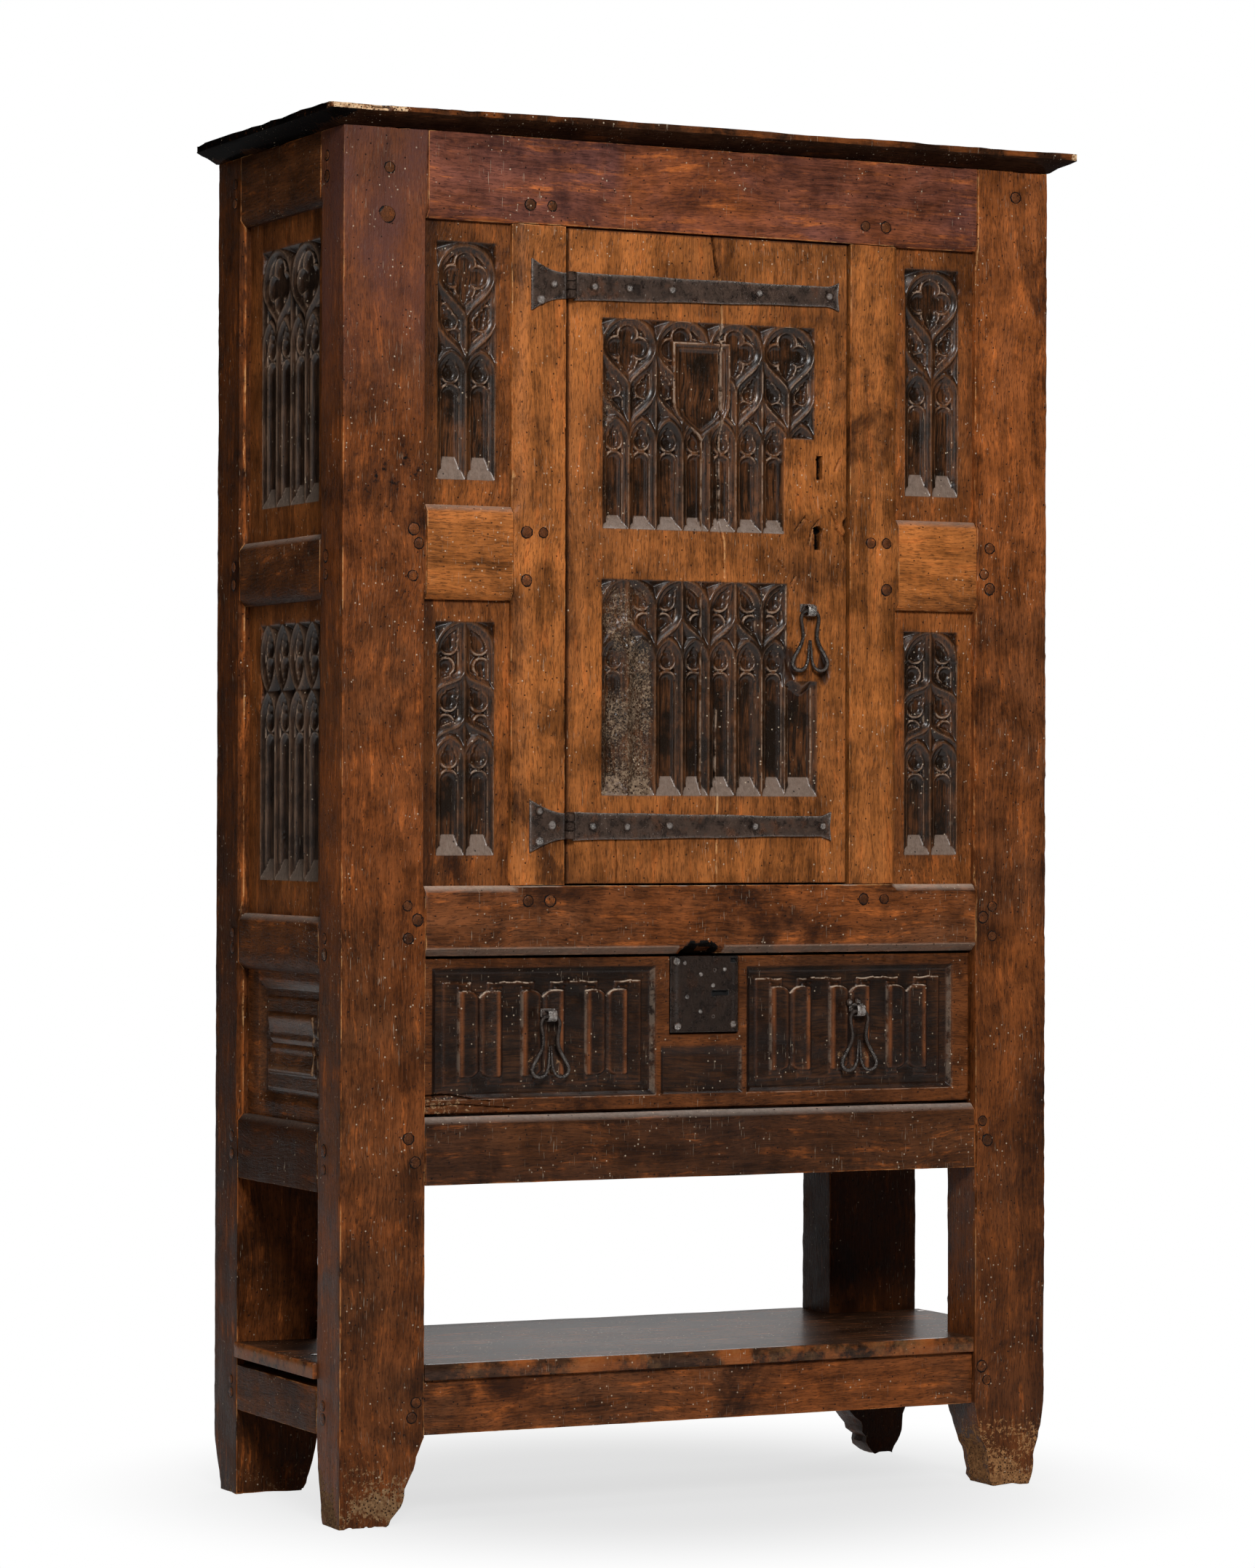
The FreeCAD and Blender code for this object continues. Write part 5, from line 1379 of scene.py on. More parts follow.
def doorDepth(across, up):
    # the two carved fields, the upper one wider at its top and the lower one wider at its foot
    u = across - door["fieldLeft"]
    low, high = door["upper"]
    reach = (across < door["columnEnd"]) | ((up > door["step"]) & (across < door["fieldRight"]))
    upper = (across > door["fieldLeft"]) & (up > low) & (up < high) & reach
    depth = where(upper, headRelief(u, up - low, windows["doorUpper"]), 0.0)
    lip = where(across > door["columnEnd"], clip((up - door["step"]) * 1.6, 0, 9), 9)
    right = where(up > door["step"], door["fieldRight"], door["columnEnd"])
    depth = where(upper, minimum(depth, minimum(lip, clip((right - across) * 2.2, 0, 9))), depth)
    low, high = door["lower"]
    reach = (across < door["columnEnd"] + 4) | ((up < door["lowerStep"]) & (across < door["lowerRight"]))
    lower = (across > door["fieldLeft"]) & (up > low) & (up < high) & reach
    plain = archRelief(u, up - low, windows["doorLower"])
    light = ribDepth(minimum(across - 99.5, door["lowerRight"] + 1 - across), 9.0)
    light = minimum(light, clip((door["lowerStep"] - 2 + 3.5 * np.sin(across / 4.1) - up) * 0.9, 0, 9))
    light = closeField(light, up - low, windows["doorLower"])
    depth = where(lower, where(across > door["columnEnd"] + 2, light, plain), depth)
    right = where(up < door["lowerStep"], door["lowerRight"], door["columnEnd"] + 4)
    depth = where(lower, minimum(depth, clip((right - across) * 2.2, 0, 9)), depth)
    carved = (upper | lower).astype(float)
    # bare shield between the middle heads
    half = np.interp(up, (1204, 1210, 1217, 1224, 1231, 1240, 1252), (0, 4, 12.5, 22.5, 30.5, 34.5, 36))
    shield = maximum((abs(across + 6.5) - half) * where(up < 1240, 0.72, 1), up - 1315)
    board = np.interp(-shield, (0, 2.2, 4.8, 6.0, 7.2, 9.8), (0.3, 0.4, 3.2, 2.3, 2.6, 5.6))
    around = clip(0.4 + shield * 4, 0.4, 9)
    depth = where(shield < 2, where(shield < 0, board, minimum(depth, around)), depth)
    sills = where(upper, sillAt(depth, up - door["upper"][0], windows["doorUpper"]), 0) + where(lower,
        sillAt(depth, up - door["lower"][0], windows["doorLower"]), 0)
    return depth, carved, sills


def addDoor():
    for node, left, right, seed in (("door_plank_left", door["left"], door["joint"], 31),
            ("door_plank_right", door["joint"], door["right"], 37)):
        fineX = (max(left, door["fieldLeft"]), min(right, door["lowerRight"] + 2))
        if node == "door_plank_right":
            fineX = (left, right)
        us = gridLines(left, right, [fineX, (left, left + 3), (right - 3, right)],
            fine=1.0 if node == "door_plank_left" else 1.15, coarse=4.0)
        vs = gridLines(door["bottom"], door["top"], [door["lower"], door["upper"], (1046.0, 1101.5),
            (door["bottom"], door["bottom"] + 3), (door["top"] - 3, door["top"])], fine=1.1, coarse=4.0)
        across, up = np.meshgrid(us, vs)
        depth, carved, sills = doorDepth(across, up)
        pale = np.zeros(across.shape)
        depth = softened(depth, 1)
        points = facePoints(across, up, 500)
        # worn zones: the two left columns below, the first column above
        amount = bounded((-62 - across) / 10) * bounded((1050 - up) / 20) * bounded((up - 795) / 10)
        above = bounded((-108 - across) / 14) * bounded((up - 1095) / 10) * bounded((1335 - up) / 40)
        amount = maximum(amount, above * 0.75)
        amount = amount * bounded(0.75 + 0.6 * rough(points, (30, 50, 30), 41)) * carved
        depth = wornDown(depth, amount, across, up, 43)
        dips = bounded(0.35 + 0.5 * rough(points, (60, 110, 60), seed, 2)) * 0.7
        depth = depth + dips * (1 - carved)
        # hollow worn behind the handle's lobes
        lobes = sum(bounded(1 - hypot((across - x) / wide, (up - door["lobesAt"]) / tall)) ** 0.7 * deep
            for x, wide, tall, deep in door["lobes"])
        depth = depth + lobes * (1 + 0.25 * np.sin(across / 1.9 + up / 5.0))
        carved = maximum(carved, clip(lobes / 2.5, 0, 0.75))
        if node == "door_plank_left":
            depth = crack(depth, across, up, door["leftCrack"], 1.6, 4.0)
        else:
            # pale wood along one side of each split and scar, partly painted highlight
            for line in door["splits"]:
                depth = crack(depth, across, up, line, 2.0, 3.5)
                pale = maximum(pale, bounded(1.4 - abs(nearLine(across - 1.4, up, np.array(line))) / 0.9))
            for line in door["scars"]:
                d = nearLine(across, up, line)
                depth = depth + 3.2 * bounded(1.2 - d / 1.6)
                beside = nearLine(across - 1.6, up - 0.8, line)
                pale = maximum(pale, 0.45 * bounded(1.5 - abs(beside) / 0.9))
            for keyhole in door["keyholes"]:
                depth = keyholeDepth(depth, across, up, *keyhole)
            # ragged right edge beside the muntin
            edge = bounded(0.25 + rough(facePoints(across, up, 60) * (0, 1, 0), (9, 22, 9), 51))
            edge = edge * about(up, 1115, 45) * 7
            depth = depth + clip(edge - (door["right"] - across), 0, 7) * 1.5
        depth = crack(depth, across, up, door["topCrack"], 4.0, 8.0)
        sides, joint = across - left, right - across
        if node == "door_plank_right":
            sides, joint = joint, sides
        rim = lowest(sides, joint * 3 + 4, up - door["bottom"], door["top"] - up)
        depth = depth + 0.9 * bounded(1 - rim / 1.8) ** 2 + 2.2 * bounded(1 - sides / 2.2)
        ridge, hollow = reliefValues(depth, carved)
        grit = abs(rough(points, (5, 9, 5), 47))
        # painted highlight lines along the ribs of the carving
        ribHighlight = bounded((softened(depth, 3) - depth) / 0.45) * carved
        # painted shade: darker along the door's outer edges, in the deepest cuts and cracks, in a nook at
        # the top of the eighth column and in the hollow behind the handle's lobes
        dark = bounded(1.3 - minimum(sides, door["top"] - up) / 2.2)
        dark = maximum(dark, bounded((depth - 9.5) / 2))
        cracks = bounded((depth - 2.4) / 2) * (1 - carved)
        sills = sills * ((up < 840) | (up > 1090) & (up < 1150))
        nook = exp(-((across - 109) / 11) ** 2 - ((up - 919) / 9) ** 2)
        dark = highest(dark, cracks, nook * 0.9, bounded(lobes / 3) * 0.85)
        # painted shade and grime round the carved fields and under the upper strap, darker towards the foot
        # and the top of the door
        grimeAndShade = about(up, 1349, 9) * 0.45 + about(across, -118, 5) * (up < 1345) * (up > 795) * 0.3
        grimeAndShade = grimeAndShade + about(up, 1060, 10) * 0.15 + bounded((725 - up) / 20) * 0.3
        grimeAndShade = grimeAndShade + bounded((up - 1395) / 20) * 0.15
        grimeAndShade = grimeAndShade * bounded(0.8 + 0.7 * rough(points, (24, 60, 24), 83)) * (1 - carved)
        dark = maximum(dark, grimeAndShade)
        # painted shade: keyholes and the deepest cuts are painted black; the sills are painted pale as dust
        # with painted sheen
        piece = carvedBoard(node + "_oak", "front", door["face"], door["thick"], us, vs, depth,
            carved=softened(carved, 1), ridge=ridge, hollow=hollow,
            rot=amount * (0.47 + 0.15 * grit + 0.25 * sills),
            arris=highest(exp(-maximum(rim, 0) / 2.5) * 0.5, ribHighlight, pale * 1.6), dim=dark,
            soot=bounded((depth - 10) / 2) * 0.9, dust=sills)
        dress(piece, finishes["door"], "door", node)


addDoor()
print("door is carved")

frontPanels = {
    "front_panel_upper_left": ((-355.5, -231), (1113, 1448), (-329.5, 1151), "frontUpper", headRelief),
    "front_panel_upper_right": ((238, 362.5), (1113, 1448), (262.5, 1151), "frontUpper", headRelief),
    "front_panel_lower_left": ((-355.5, -231), (692, 1028), (-329.5, 735), "frontLower", archRelief),
    "front_panel_lower_right": ((238, 362.5), (692, 1028), (262.5, 735), "frontLower", archRelief),
}
sidePanels = {
    "upper": ((-123, 137), (1081, 1464), (-80, 1128), "sideUpper", headRelief),
    "lower": ((-123, 137), (657, 1028), (-82, 705), "sideLower", ovalRelief),
}


def addPanel(node, facing, face, spanX, spanZ, corner, key, relief, seed, finish="panel"):
    win = windows[key]
    bays = 2 if facing != "front" else 1
    wide, tall = 2 * win["half"] * bays, win["top"]
    field = ((corner[0], corner[0] + wide), (corner[1], corner[1] + tall))
    us = gridLines(spanX[0], spanX[1], [field[0]], fine=1.0, coarse=5.0)
    vs = gridLines(spanZ[0], spanZ[1], [field[1]], fine=1.1, coarse=5.0)
    across, up = np.meshgrid(us, vs)
    inside = (across > field[0][0]) & (across < field[0][1]) & (up > field[1][0]) & (up < field[1][1])
    depth = where(inside, relief(across - corner[0], up - corner[1], win), 0.0)
    sills = where(inside, sillAt(depth, up - corner[1], win), 0)
    depth = softened(depth, 1)
    carved = inside.astype(float)
    points = facePoints(across, up, 500, seed * 10)
    amount = bounded(rough(points, (22, 60, 22), seed) - 0.35) * carved * 0.6
    depth = wornDown(depth, amount, across, up, seed + 1)
    depth = depth + (1 - carved) * bounded(0.3 + 0.5 * rough(points, (50, 90, 50), seed + 5, 2)) * 0.5
    ridge, hollow = reliefValues(depth, carved)
    # painted shade: the left front panels' border beside the post is painted darker, and every panel darker
    # just under its top edge
    beside = np.zeros(across.shape)
    if facing == "front" and spanX[0] < 0:
        beside = bounded((corner[0] + 1 - across) / 2) * 0.85
    beside = maximum(beside, bounded(1 - (spanZ[1] - up) / 16) * 0.5) * (1 - carved)
    # painted highlight lines along the ribs of the carving; the sills are painted pale as dust with painted
    # sheen
    piece = carvedBoard(node + "_oak", facing, face, 15.0, us, vs, depth, carved=softened(carved, 1),
        ridge=ridge, hollow=hollow, dust=sills, dim=beside,
        arris=bounded((softened(depth, 3) - depth) / 0.45) * carved)
    dress(piece, finishes[finish], "frame", node)


for seedStep, (node, (spanX, spanZ, corner, key, relief)) in enumerate(frontPanels.items()):
    addPanel(node, "front", -166.0, spanX, spanZ, corner, key, relief, 70 + 5 * seedStep)
for seedStep, (part, (depthSpan, spanZ, corner, key, relief)) in enumerate(sidePanels.items()):
    for facing, face in (("left", -433.5), ("right", 433.5)):
        spanX = (-depthSpan[1], -depthSpan[0]) if facing == "left" else depthSpan
        wide = 4 * windows[key]["half"]
        start = (-corner[0] - wide if facing == "left" else corner[0], corner[1])
        addPanel(f"side_panel_{part}_{facing}", facing, face, spanX, spanZ, start, key, relief,
            95 + 5 * seedStep, "sidePanel")
print("panels are carved")


# Points on a smooth line drawn through the given ones
def smoothLine(points, count):
    p = np.array(points, float)
    p = np.vstack([2 * p[0] - p[1], p, 2 * p[-1] - p[-2]])
    found = []
    for i in range(1, len(p) - 2):
        for t in np.linspace(0, 1, count, endpoint=False):
            found.append(0.5 * (2 * p[i] + (p[i + 1] - p[i - 1]) * t
                + (2 * p[i - 1] - 5 * p[i] + 4 * p[i + 1] - p[i + 2]) * t ** 2
                + (3 * p[i] - p[i - 1] - 3 * p[i + 1] + p[i + 2]) * t ** 3))
    return np.array(found + [p[-2]])


def tangents(line):
    steps = np.gradient(line, axis=0)
    return steps / np.linalg.norm(steps, axis=1)[:, None]


# A closed form from rings of points, laid out on a grid and joined along its seam and at its ends
def hull(name, rings, **values):
    rings = np.asarray(rings, float)
    middle = rings.mean(1, keepdims=True)
    rings = np.concatenate([rings[:1] * 0 + middle[:1], rings, rings[-1:] * 0 + middle[-1:]])
    count, around = rings.shape[:2]
    cleared()
    bpy.ops.mesh.primitive_grid_add(x_subdivisions=around, y_subdivisions=count - 1, size=1,
        location=(0, 0, 0))
    piece = bpy.context.object
    piece.name = piece.data.name = name
    unit = pointsOf(piece) * mm
    i = np.rint((unit[:, 0] + 0.5) * around).astype(int) % around
    j = np.rint((unit[:, 1] + 0.5) * (count - 1)).astype(int)
    setPoints(piece, rings[j, i])
    for key, grid in values.items():
        grid = np.vstack([grid[:1], grid, grid[-1:]])
        setValues(piece, **{key: grid[j, i]})
    opened(piece)
    bpy.ops.mesh.remove_doubles(threshold=0.01 * mm)
    bpy.ops.mesh.normals_make_consistent(inside=False)
    closed()
    return piece


# Turned or hammered round form: pairs of radius and height, standing on a spot and facing a way
def turned(name, profile, place, toward=(0, -1, 0), sides=16, wobble=0.0, seed=0):
    toward = np.array(toward, float)
    side = np.cross(toward, (0, 0, 1.0) if abs(toward[2]) < 0.5 else (1.0, 0, 0))
    up = np.cross(side, toward)
    angles = np.arange(sides) * 2 * math.pi / sides
    rings, edge = [], []
    peak = max(r for r, h in profile)
    for r, h in profile:
        uneven = 1 + wobble * np.array([math.sin(2 * a + seed) + 0.6 * math.sin(3 * a + 2.3 * seed)
            for a in angles])
        rings.append(np.array(place) + np.outer(r * uneven * np.cos(angles), side)
            + np.outer(r * uneven * np.sin(angles), up) + h * toward)
        edge.append(np.full(sides, 0.6 if r < 0.65 * peak and h > 0 else 0.0))
    # painted shade: a dark ring at the foot of each head where it meets the wood
    foot = [np.full(sides, 0.9 if r > 0.93 * peak and h < 0.4 else 0.0) for r, h in profile]
    return hull(name, rings, arris=np.array(edge), dim=np.array(foot))


# Hammered flat bar: its lower and upper edge along x, in front of the wood
def flatBar(name, xs, low, high, front, back, soft=1.1, seed=0, notch=0.0):
    shares = np.array([0, 0.012, 0.03, 0.055, 0.12, 0.22, 0.34, 0.5, 0.66, 0.78, 0.88, 0.945, 0.97, 0.988,
        1])
    rings, edges = [], []
    for x in xs:
        z0, z1 = low(x), high(x)
        z = z0 + shares * (z1 - z0)
        rim = lowest(z - z0, z1 - z, x - xs[0], xs[-1] - x)
        drop = soft - np.sqrt(maximum(soft ** 2 - maximum(soft - rim, 0) ** 2, 0))
        spots = np.c_[np.full(len(z), x + 900.0), np.full(len(z), seed * 31.0), z + 900]
        beaten = 0.45 * abs(rough(spots, (15, 9, 15), seed, 2)) + 0.10 * abs(rough(spots, 4, seed + 3, 2))
        nearEnd = bounded(1 - (xs[-1] - x) / 15) * notch
        across = x - nearEnd * (1 - (2 * shares - 1) ** 2)
        face = np.c_[across, front + drop + beaten * bounded(rim / 1.5), z]
        rings.append(np.vstack([face, [[across[-1], back, z1], [across[7], back, (z0 + z1) / 2],
            [across[0], back, z0]]]))
        upper = 0.55 + 0.45 * (z > (z0 + z1) / 2)
        edges.append(np.r_[exp(-rim / 0.9) * upper, [0, 0, 0]])
    return hull(name, rings, arris=np.array(edges))


hinge = {"x": -174, "y": -185.3, "radius": 6, "levels": (768, 1371), "tall": 29, "front": -179,
    "plate": {"left": -221, "right": -178, "half": 30, "waist": 14.5, "thick": 3, "curve": (1.7, 2.1)},
    "strap": {"left": -168.5, "right": (159, 167.3), "root": 16, "tail": 11.2, "end": 16.6,
    "rise": (0.5, 4.4), "thick": 4, "nails": (0.07, 0.20, 0.36, 0.69), "lastNail": (0.955, 0.96),
    "reach": (-167.7, 335), "less": (0.985, 1)}}
nailHeads = {"dome": ((5, -0.4), (5.2, 0.3), (4.9, 1), (4, 1.7), (2.6, 2.1), (1, 2.25)),
    "flat": ((5.4, -0.4), (5.6, 0.2), (5.2, 0.55), (3.6, 0.8), (1.2, 0.7)),
    "hole": ((5, -0.4), (5.1, 0.25), (4.5, 0.5), (3.9, 0.3), (3.5, -0.3), (1, -0.35)),
    "rivet": ((2.4, -0.3), (2.5, 0.3), (2.1, 0.9), (1.3, 1.3), (0.4, 1.4)),
    "ring": ((2.5, -0.3), (2.6, 0.4), (2.1, 0.7), (1.5, 0.3), (0.6, -0.4)),
    "round": ((5, -0.6), (5.1, 0.2), (4.6, 0.9), (3.2, 1.2), (1, 1.25)),
    "six": ((4.8, -0.6), (4.9, 0.9), (4.3, 1.4), (2.5, 1.5), (0.8, 1.5)),
    "blob": ((3.6, -2), (4.4, 0), (4.2, 1.4), (3, 2.6), (1.2, 3.1))}


def barrel(name, z0, z1):
    edge = 0.9
    r = hinge["radius"]
    profile = ((r - edge, 0), (r - 0.25, 0.25), (r, edge), (r, (z1 - z0) / 2), (r, z1 - z0 - edge),
        (r - 0.25, z1 - z0 - 0.25), (r - edge, z1 - z0))
    return turned(name, profile, (hinge["x"], hinge["y"], z0), (0, 0, 1), sides=18, wobble=0.012, seed=z0)


def addHinges():
    plates, pins, heads, frameHeads = [], [], [], []
    third = hinge["tall"] / 3
    for index, level in enumerate(hinge["levels"]):
        plate, strap = hinge["plate"], hinge["strap"]
        wide = plate["right"] - plate["left"]

        def half(x, level=level, index=index):
            share = bounded((x - plate["left"]) / wide)
            spread = (1 - share) ** plate["curve"][index]
            tip = 1.2 * max(0, 1 - (x - plate["left"]) / 3)
            return plate["waist"] + (plate["half"] - plate["waist"]) * spread - tip

        xs = plate["left"] + np.r_[0, 0.4, 1.0, 2.0, np.arange(4.0, wide - 2, 2.2), wide - 1, wide - 0.3,
            wide]
        base = hinge["front"] - plate["thick"]
        plates.append(flatBar(f"plate{index}", xs, lambda x: level - half(x), lambda x: level + half(x),
            base, hinge["front"] + 0.2, seed=3 + index))
        bottom, top = level - hinge["tall"] / 2, level + hinge["tall"] / 2
        for z0, z1 in ((bottom, bottom + third - 0.3), (top - third + 0.3, top)):
            plates.append(barrel("knuckle", z0, z1))
            plates.append(flatBar("leaf", [-184, -183, -180, -177, -174], lambda x: z0 + 0.2,
                lambda x: z1 - 0.2, base + 0.2, hinge["front"] + 0.1, seed=9))
        pins.append(turned("pin", ((1.6, 0), (2.5, 1.0), (2.5, hinge["tall"]), (5.4, hinge["tall"]),
            (5.7, hinge["tall"] + 0.5), (4.2, hinge["tall"] + 1.2), (1.5, hinge["tall"] + 1.5)),
            (hinge["x"], hinge["y"], bottom), (0, 0, 1), sides=16, wobble=0.01))
        for (x, z), kind in zip(((-209.5, level + 16.8), (-209.5, level - 16.8), (-193.9, level + 1.2)),
                ("hole", "flat", "dome") if index else ("dome", "flat", "flat")):
            frameHeads.append(turned("plateNail", nailHeads[kind], (x, base + 0.3, z), wobble=0.03,
                seed=x + z))
        end = strap["right"][index]
        rise = strap["rise"][index]
        long = end - strap["left"]
        xs = strap["left"] + np.r_[0, 0.4, 1.0, 2.0, np.arange(5.0, long - 3, 5.0), long - 2, long - 1,
            long - 0.4, long]

        def centre(x, rise=rise, level=level):
            return level + rise * bounded((x - strap["left"]) / long)

        def halfStrap(x, long=long, end=end):
            share = bounded((x - strap["left"]) / (long - 15))
            taper = strap["root"] + (strap["tail"] - strap["root"]) * share ** 0.8
            flare = bounded(1 - (end - x) / 16) ** 1.6
            return taper + (strap["end"] - strap["tail"]) * flare + 0.35 * math.sin(x / 17.0)

        front = hinge["front"] - strap["thick"]
        parts = [flatBar("strap", xs, lambda x: centre(x) - halfStrap(x),
            lambda x: centre(x) + halfStrap(x), front, hinge["front"] + 0.2, seed=21 + index, notch=3.2)]
        parts.append(barrel("knuckle", bottom + third + 0.2, top - third - 0.2))
        parts.append(flatBar("leaf", [-174, -172, -170, -168, -166], lambda x: bottom + third + 0.3,
            lambda x: top - third - 0.3, front + 0.2, hinge["front"] + 0.1, seed=12))
        name = f"door_strap_{'upper' if index else 'lower'}"
        finished(parts, name + "_iron", 55, iron, "door", name)
        for share in (*strap["nails"], strap["lastNail"][index]):
            x = strap["reach"][0] + share * strap["reach"][1] * strap["less"][index]
            heads.append(turned("strapNail", nailHeads["dome"],
                (x, front + 0.35, centre(x) + 0.8 * math.sin(x)), wobble=0.03, seed=x))
    for parts, node, body in ((plates, "hinge_plates", "frame"), (pins, "hinge_pins", "frame"),
            (heads, "strap_nails", "door")):
        finished(parts, node + "_iron", 55, iron, body, node)
    for x, y in ((-415.8, -35.7), (435.7, 95.9)):
        frameHeads.append(turned("shelfNail", nailHeads["flat"], (x, y, 175.2), (0, 0, 1), wobble=0.04,
            seed=x))
    finished(frameHeads, "frame_nails_iron", 55, iron, "frame", "frame_nails")


addHinges()

# Half of a handle's wire from the top bar down the leg, round the lobe and up to the spike
handle = {"half": ((0, 0), (4.5, 0.2), (8.8, -1.8), (11.4, -7.5), (10.6, -14), (9.2, -22), (9, -30),
    (11.6, -38), (17.5, -48), (21.6, -55.5), (22.3, -61), (19, -66), (12.5, -67.6), (6.5, -64.5),
    (2.9, -57), (1.9, -48), (1.3, -38), (1.05, -33)), "wire": 2.3, "spike": 1.05, "flat": 0.90}
handles = {
    "door_handle": {"x": 128, "y": -186.9, "z": 1014},
    "drawer_handle_left": {"x": -192.5, "y": -175.9, "z": 556},
    "drawer_handle_right": {"x": 199.5, "y": -175.9, "z": 556},
}


def addHandle(node, spec):
    parts = []
    for side in (-1, 1):
        line = smoothLine([(side * x, z) for x, z in handle["half"]], 5)
        steps = tangents(line)
        rings, edges = [], []
        around = np.arange(10) * math.pi / 5
        for index, ((x, z), (tx, tz)) in enumerate(zip(line, steps)):
            share = index / (len(line) - 1)
            thinner = max(0, (share - 0.70) / 0.30) ** 1.2
            r = handle["wire"] * (1 - 0.10 * math.sin(9 * share + side))
            r -= (handle["wire"] - handle["spike"]) * thinner
            ring = np.c_[x + r * np.cos(around) * -tz, r * handle["flat"] * np.sin(around),
                z + r * np.cos(around) * tx]
            rings.append(ring + (spec["x"], spec["y"], spec["z"]))
            edges.append(bounded(-np.sin(around)) ** 3 * (0.35 + 0.5 * (z < -40)))
        parts.append(hull("wire", rings, arris=np.array(edges)))
    piece = joined(parts, node + "_iron")
    setValues(piece, dim=0.8)
    smoothed(piece, 60)
    dress(piece, iron, node, node)


for node, spec in handles.items():
    addHandle(node, spec)


# Staple: a small plate against the wood and a band bent over the handle's bar
def stapleParts(x, y, z, face):
    low = face - 1.6
    parts = [flatBar("stapleBack", x + np.array([-9, -8.6, -8, -4, 0, 4, 8, 8.6, 9.0]), lambda u: z - 0.5,
        lambda u: z + 8.5, low, face + 0.3, soft=0.7, seed=5)]
    out = y - 5.1 + 0.95
    line = smoothLine([(face + 0.5, z + 6.0), (y - 1.2, z + 6.2), (out + 0.6, z + 4.4), (out, z + 0.5),
        (out + 1.0, z - 3.4), (y + 0.2, z - 4.8), (face + 0.5, z - 4.4)], 5)
    steps = tangents(line)
    rings, edges = [], []
    for (py, pz), (ty, tz) in zip(line, steps):
        shape = np.array([(-5.2, -0.5), (-5.2, 0.5), (-4.6, 0.95), (0, 1.05), (4.6, 0.95), (5.2, 0.5),
            (5.2, -0.5), (4.6, -0.9), (-4.6, -0.9)])
        rings.append(np.c_[x + 1.2 + shape[:, 0], py + tz * shape[:, 1], pz - ty * shape[:, 1]])
        edges.append(np.array([0.2, 0.7, 0.9, 0.6, 0.9, 0.7, 0.2, 0, 0]))
    parts.append(hull("stapleBand", rings, arris=np.array(edges)))
    return parts


for node, body, places, face in (("door_handle_staple", "door", [handles["door_handle"]], -179.0),
        ("drawer_staples", "drawer", [handles["drawer_handle_left"], handles["drawer_handle_right"]],
        -168.0)):
    parts = [part for place in places for part in stapleParts(place["x"], place["y"], place["z"], face)]
    if body == "drawer":
        for x, z in ((191.0, 566.0), (201.5, 567.0)):
            parts.append(turned("blob", nailHeads["blob"], (x, face, z), wobble=0.05, seed=x))
    finished(parts, node + "_iron", 50, iron, body, node)
print("iron is forged")


# A sunk field with a bevelled border
def sunkField(acrossSpots, upSpots, box, deep, run):
    x0, x1, z0, z1 = box
    rim = rimOf(acrossSpots, upSpots, x0, x1, z0, z1)
    slope = bounded(rim / run)
    return where(rim > 0, minimum(0.7, rim * 2) + (deep - 0.7) * slope, 0), (rim > 0).astype(float), rim


# Folded linen: two rolls with a groove between, over a middle and a lower fold, ends cut in a hook line
def foldDepth(c, along, fold):
    low, high, half = fold["low"], fold["high"], fold["half"]
    ends = minimum(along - low, high - along)
    a = abs(c)
    hook = 0.9 * np.sin((a - 10) / 5.0) * (a < half + 6)
    depth = np.full(c.shape, fold["ground"])
    band = (a < fold["band"]) & (a > 10.0) & (ends > -9.2 + hook)
    depth = where(band, fold["ground"] - 1.5, depth)
    middle = (a > 12.5 + 0.05 * along % 3) & (a < half + 0.8) & (ends > -4.4 + hook)
    depth = where(middle, fold["ground"] - 2.8, depth)
    cusp = 7.5 * exp(-(a / 5.0) ** 1.3) + 1.2 * bounded((a - half + 7) / 7)
    t = bounded(a / half)
    roll = np.interp(t, (0, 0.05, 0.15, 0.30, 0.36, 0.55, 0.76, 0.88, 0.96, 1.0),
        (5.2, 4.0, 2.6, 3.3, 3.4, 2.5, 1.1, 0.5, 0.7, 1.7))
    block = (a < half) & (ends > cusp)
    depth = where(block, minimum(roll + 0.1, fold["ground"]), depth)
    # painted highlight lines along the hook lines, kept at the upper ends only
    line = exp(-(ends - cusp) ** 2 / 1.6) * (a < half)
    line = line + exp(-(ends + 9.2 - hook) ** 2 / 1.6) * (a > 10) * (a < fold["band"])
    rubbed = block * bounded(1 - abs(t - 0.86) / 0.14)
    return depth, bounded(line) * (along > (low + high) / 2), rubbed


drawer = {
    "left": -342.5, "right": 349.5, "bottom": 450, "top": 621, "face": -168, "thick": 22,
    "fields": ((-332.5, -57.5, 465, 611, (-273.5, -196.5, -117.5)),
        (58.5, 327.5, 465, 609, (116.5, 193.5, 268.5))),
    "tablet": (-50.5, 52.5, 465, 519), "plate": (-39.5, 46.5, 535, 621),
    "fold": {"low": 489, "high": 585, "half": 26, "band": 44, "ground": 6.4},
    "cracks": (([(-343, 470), (-310, 471), (-285, 466), (-262, 463)], 1.8),
        ([(-343, 458), (-300, 460), (-240, 455)], 1.6)),
}


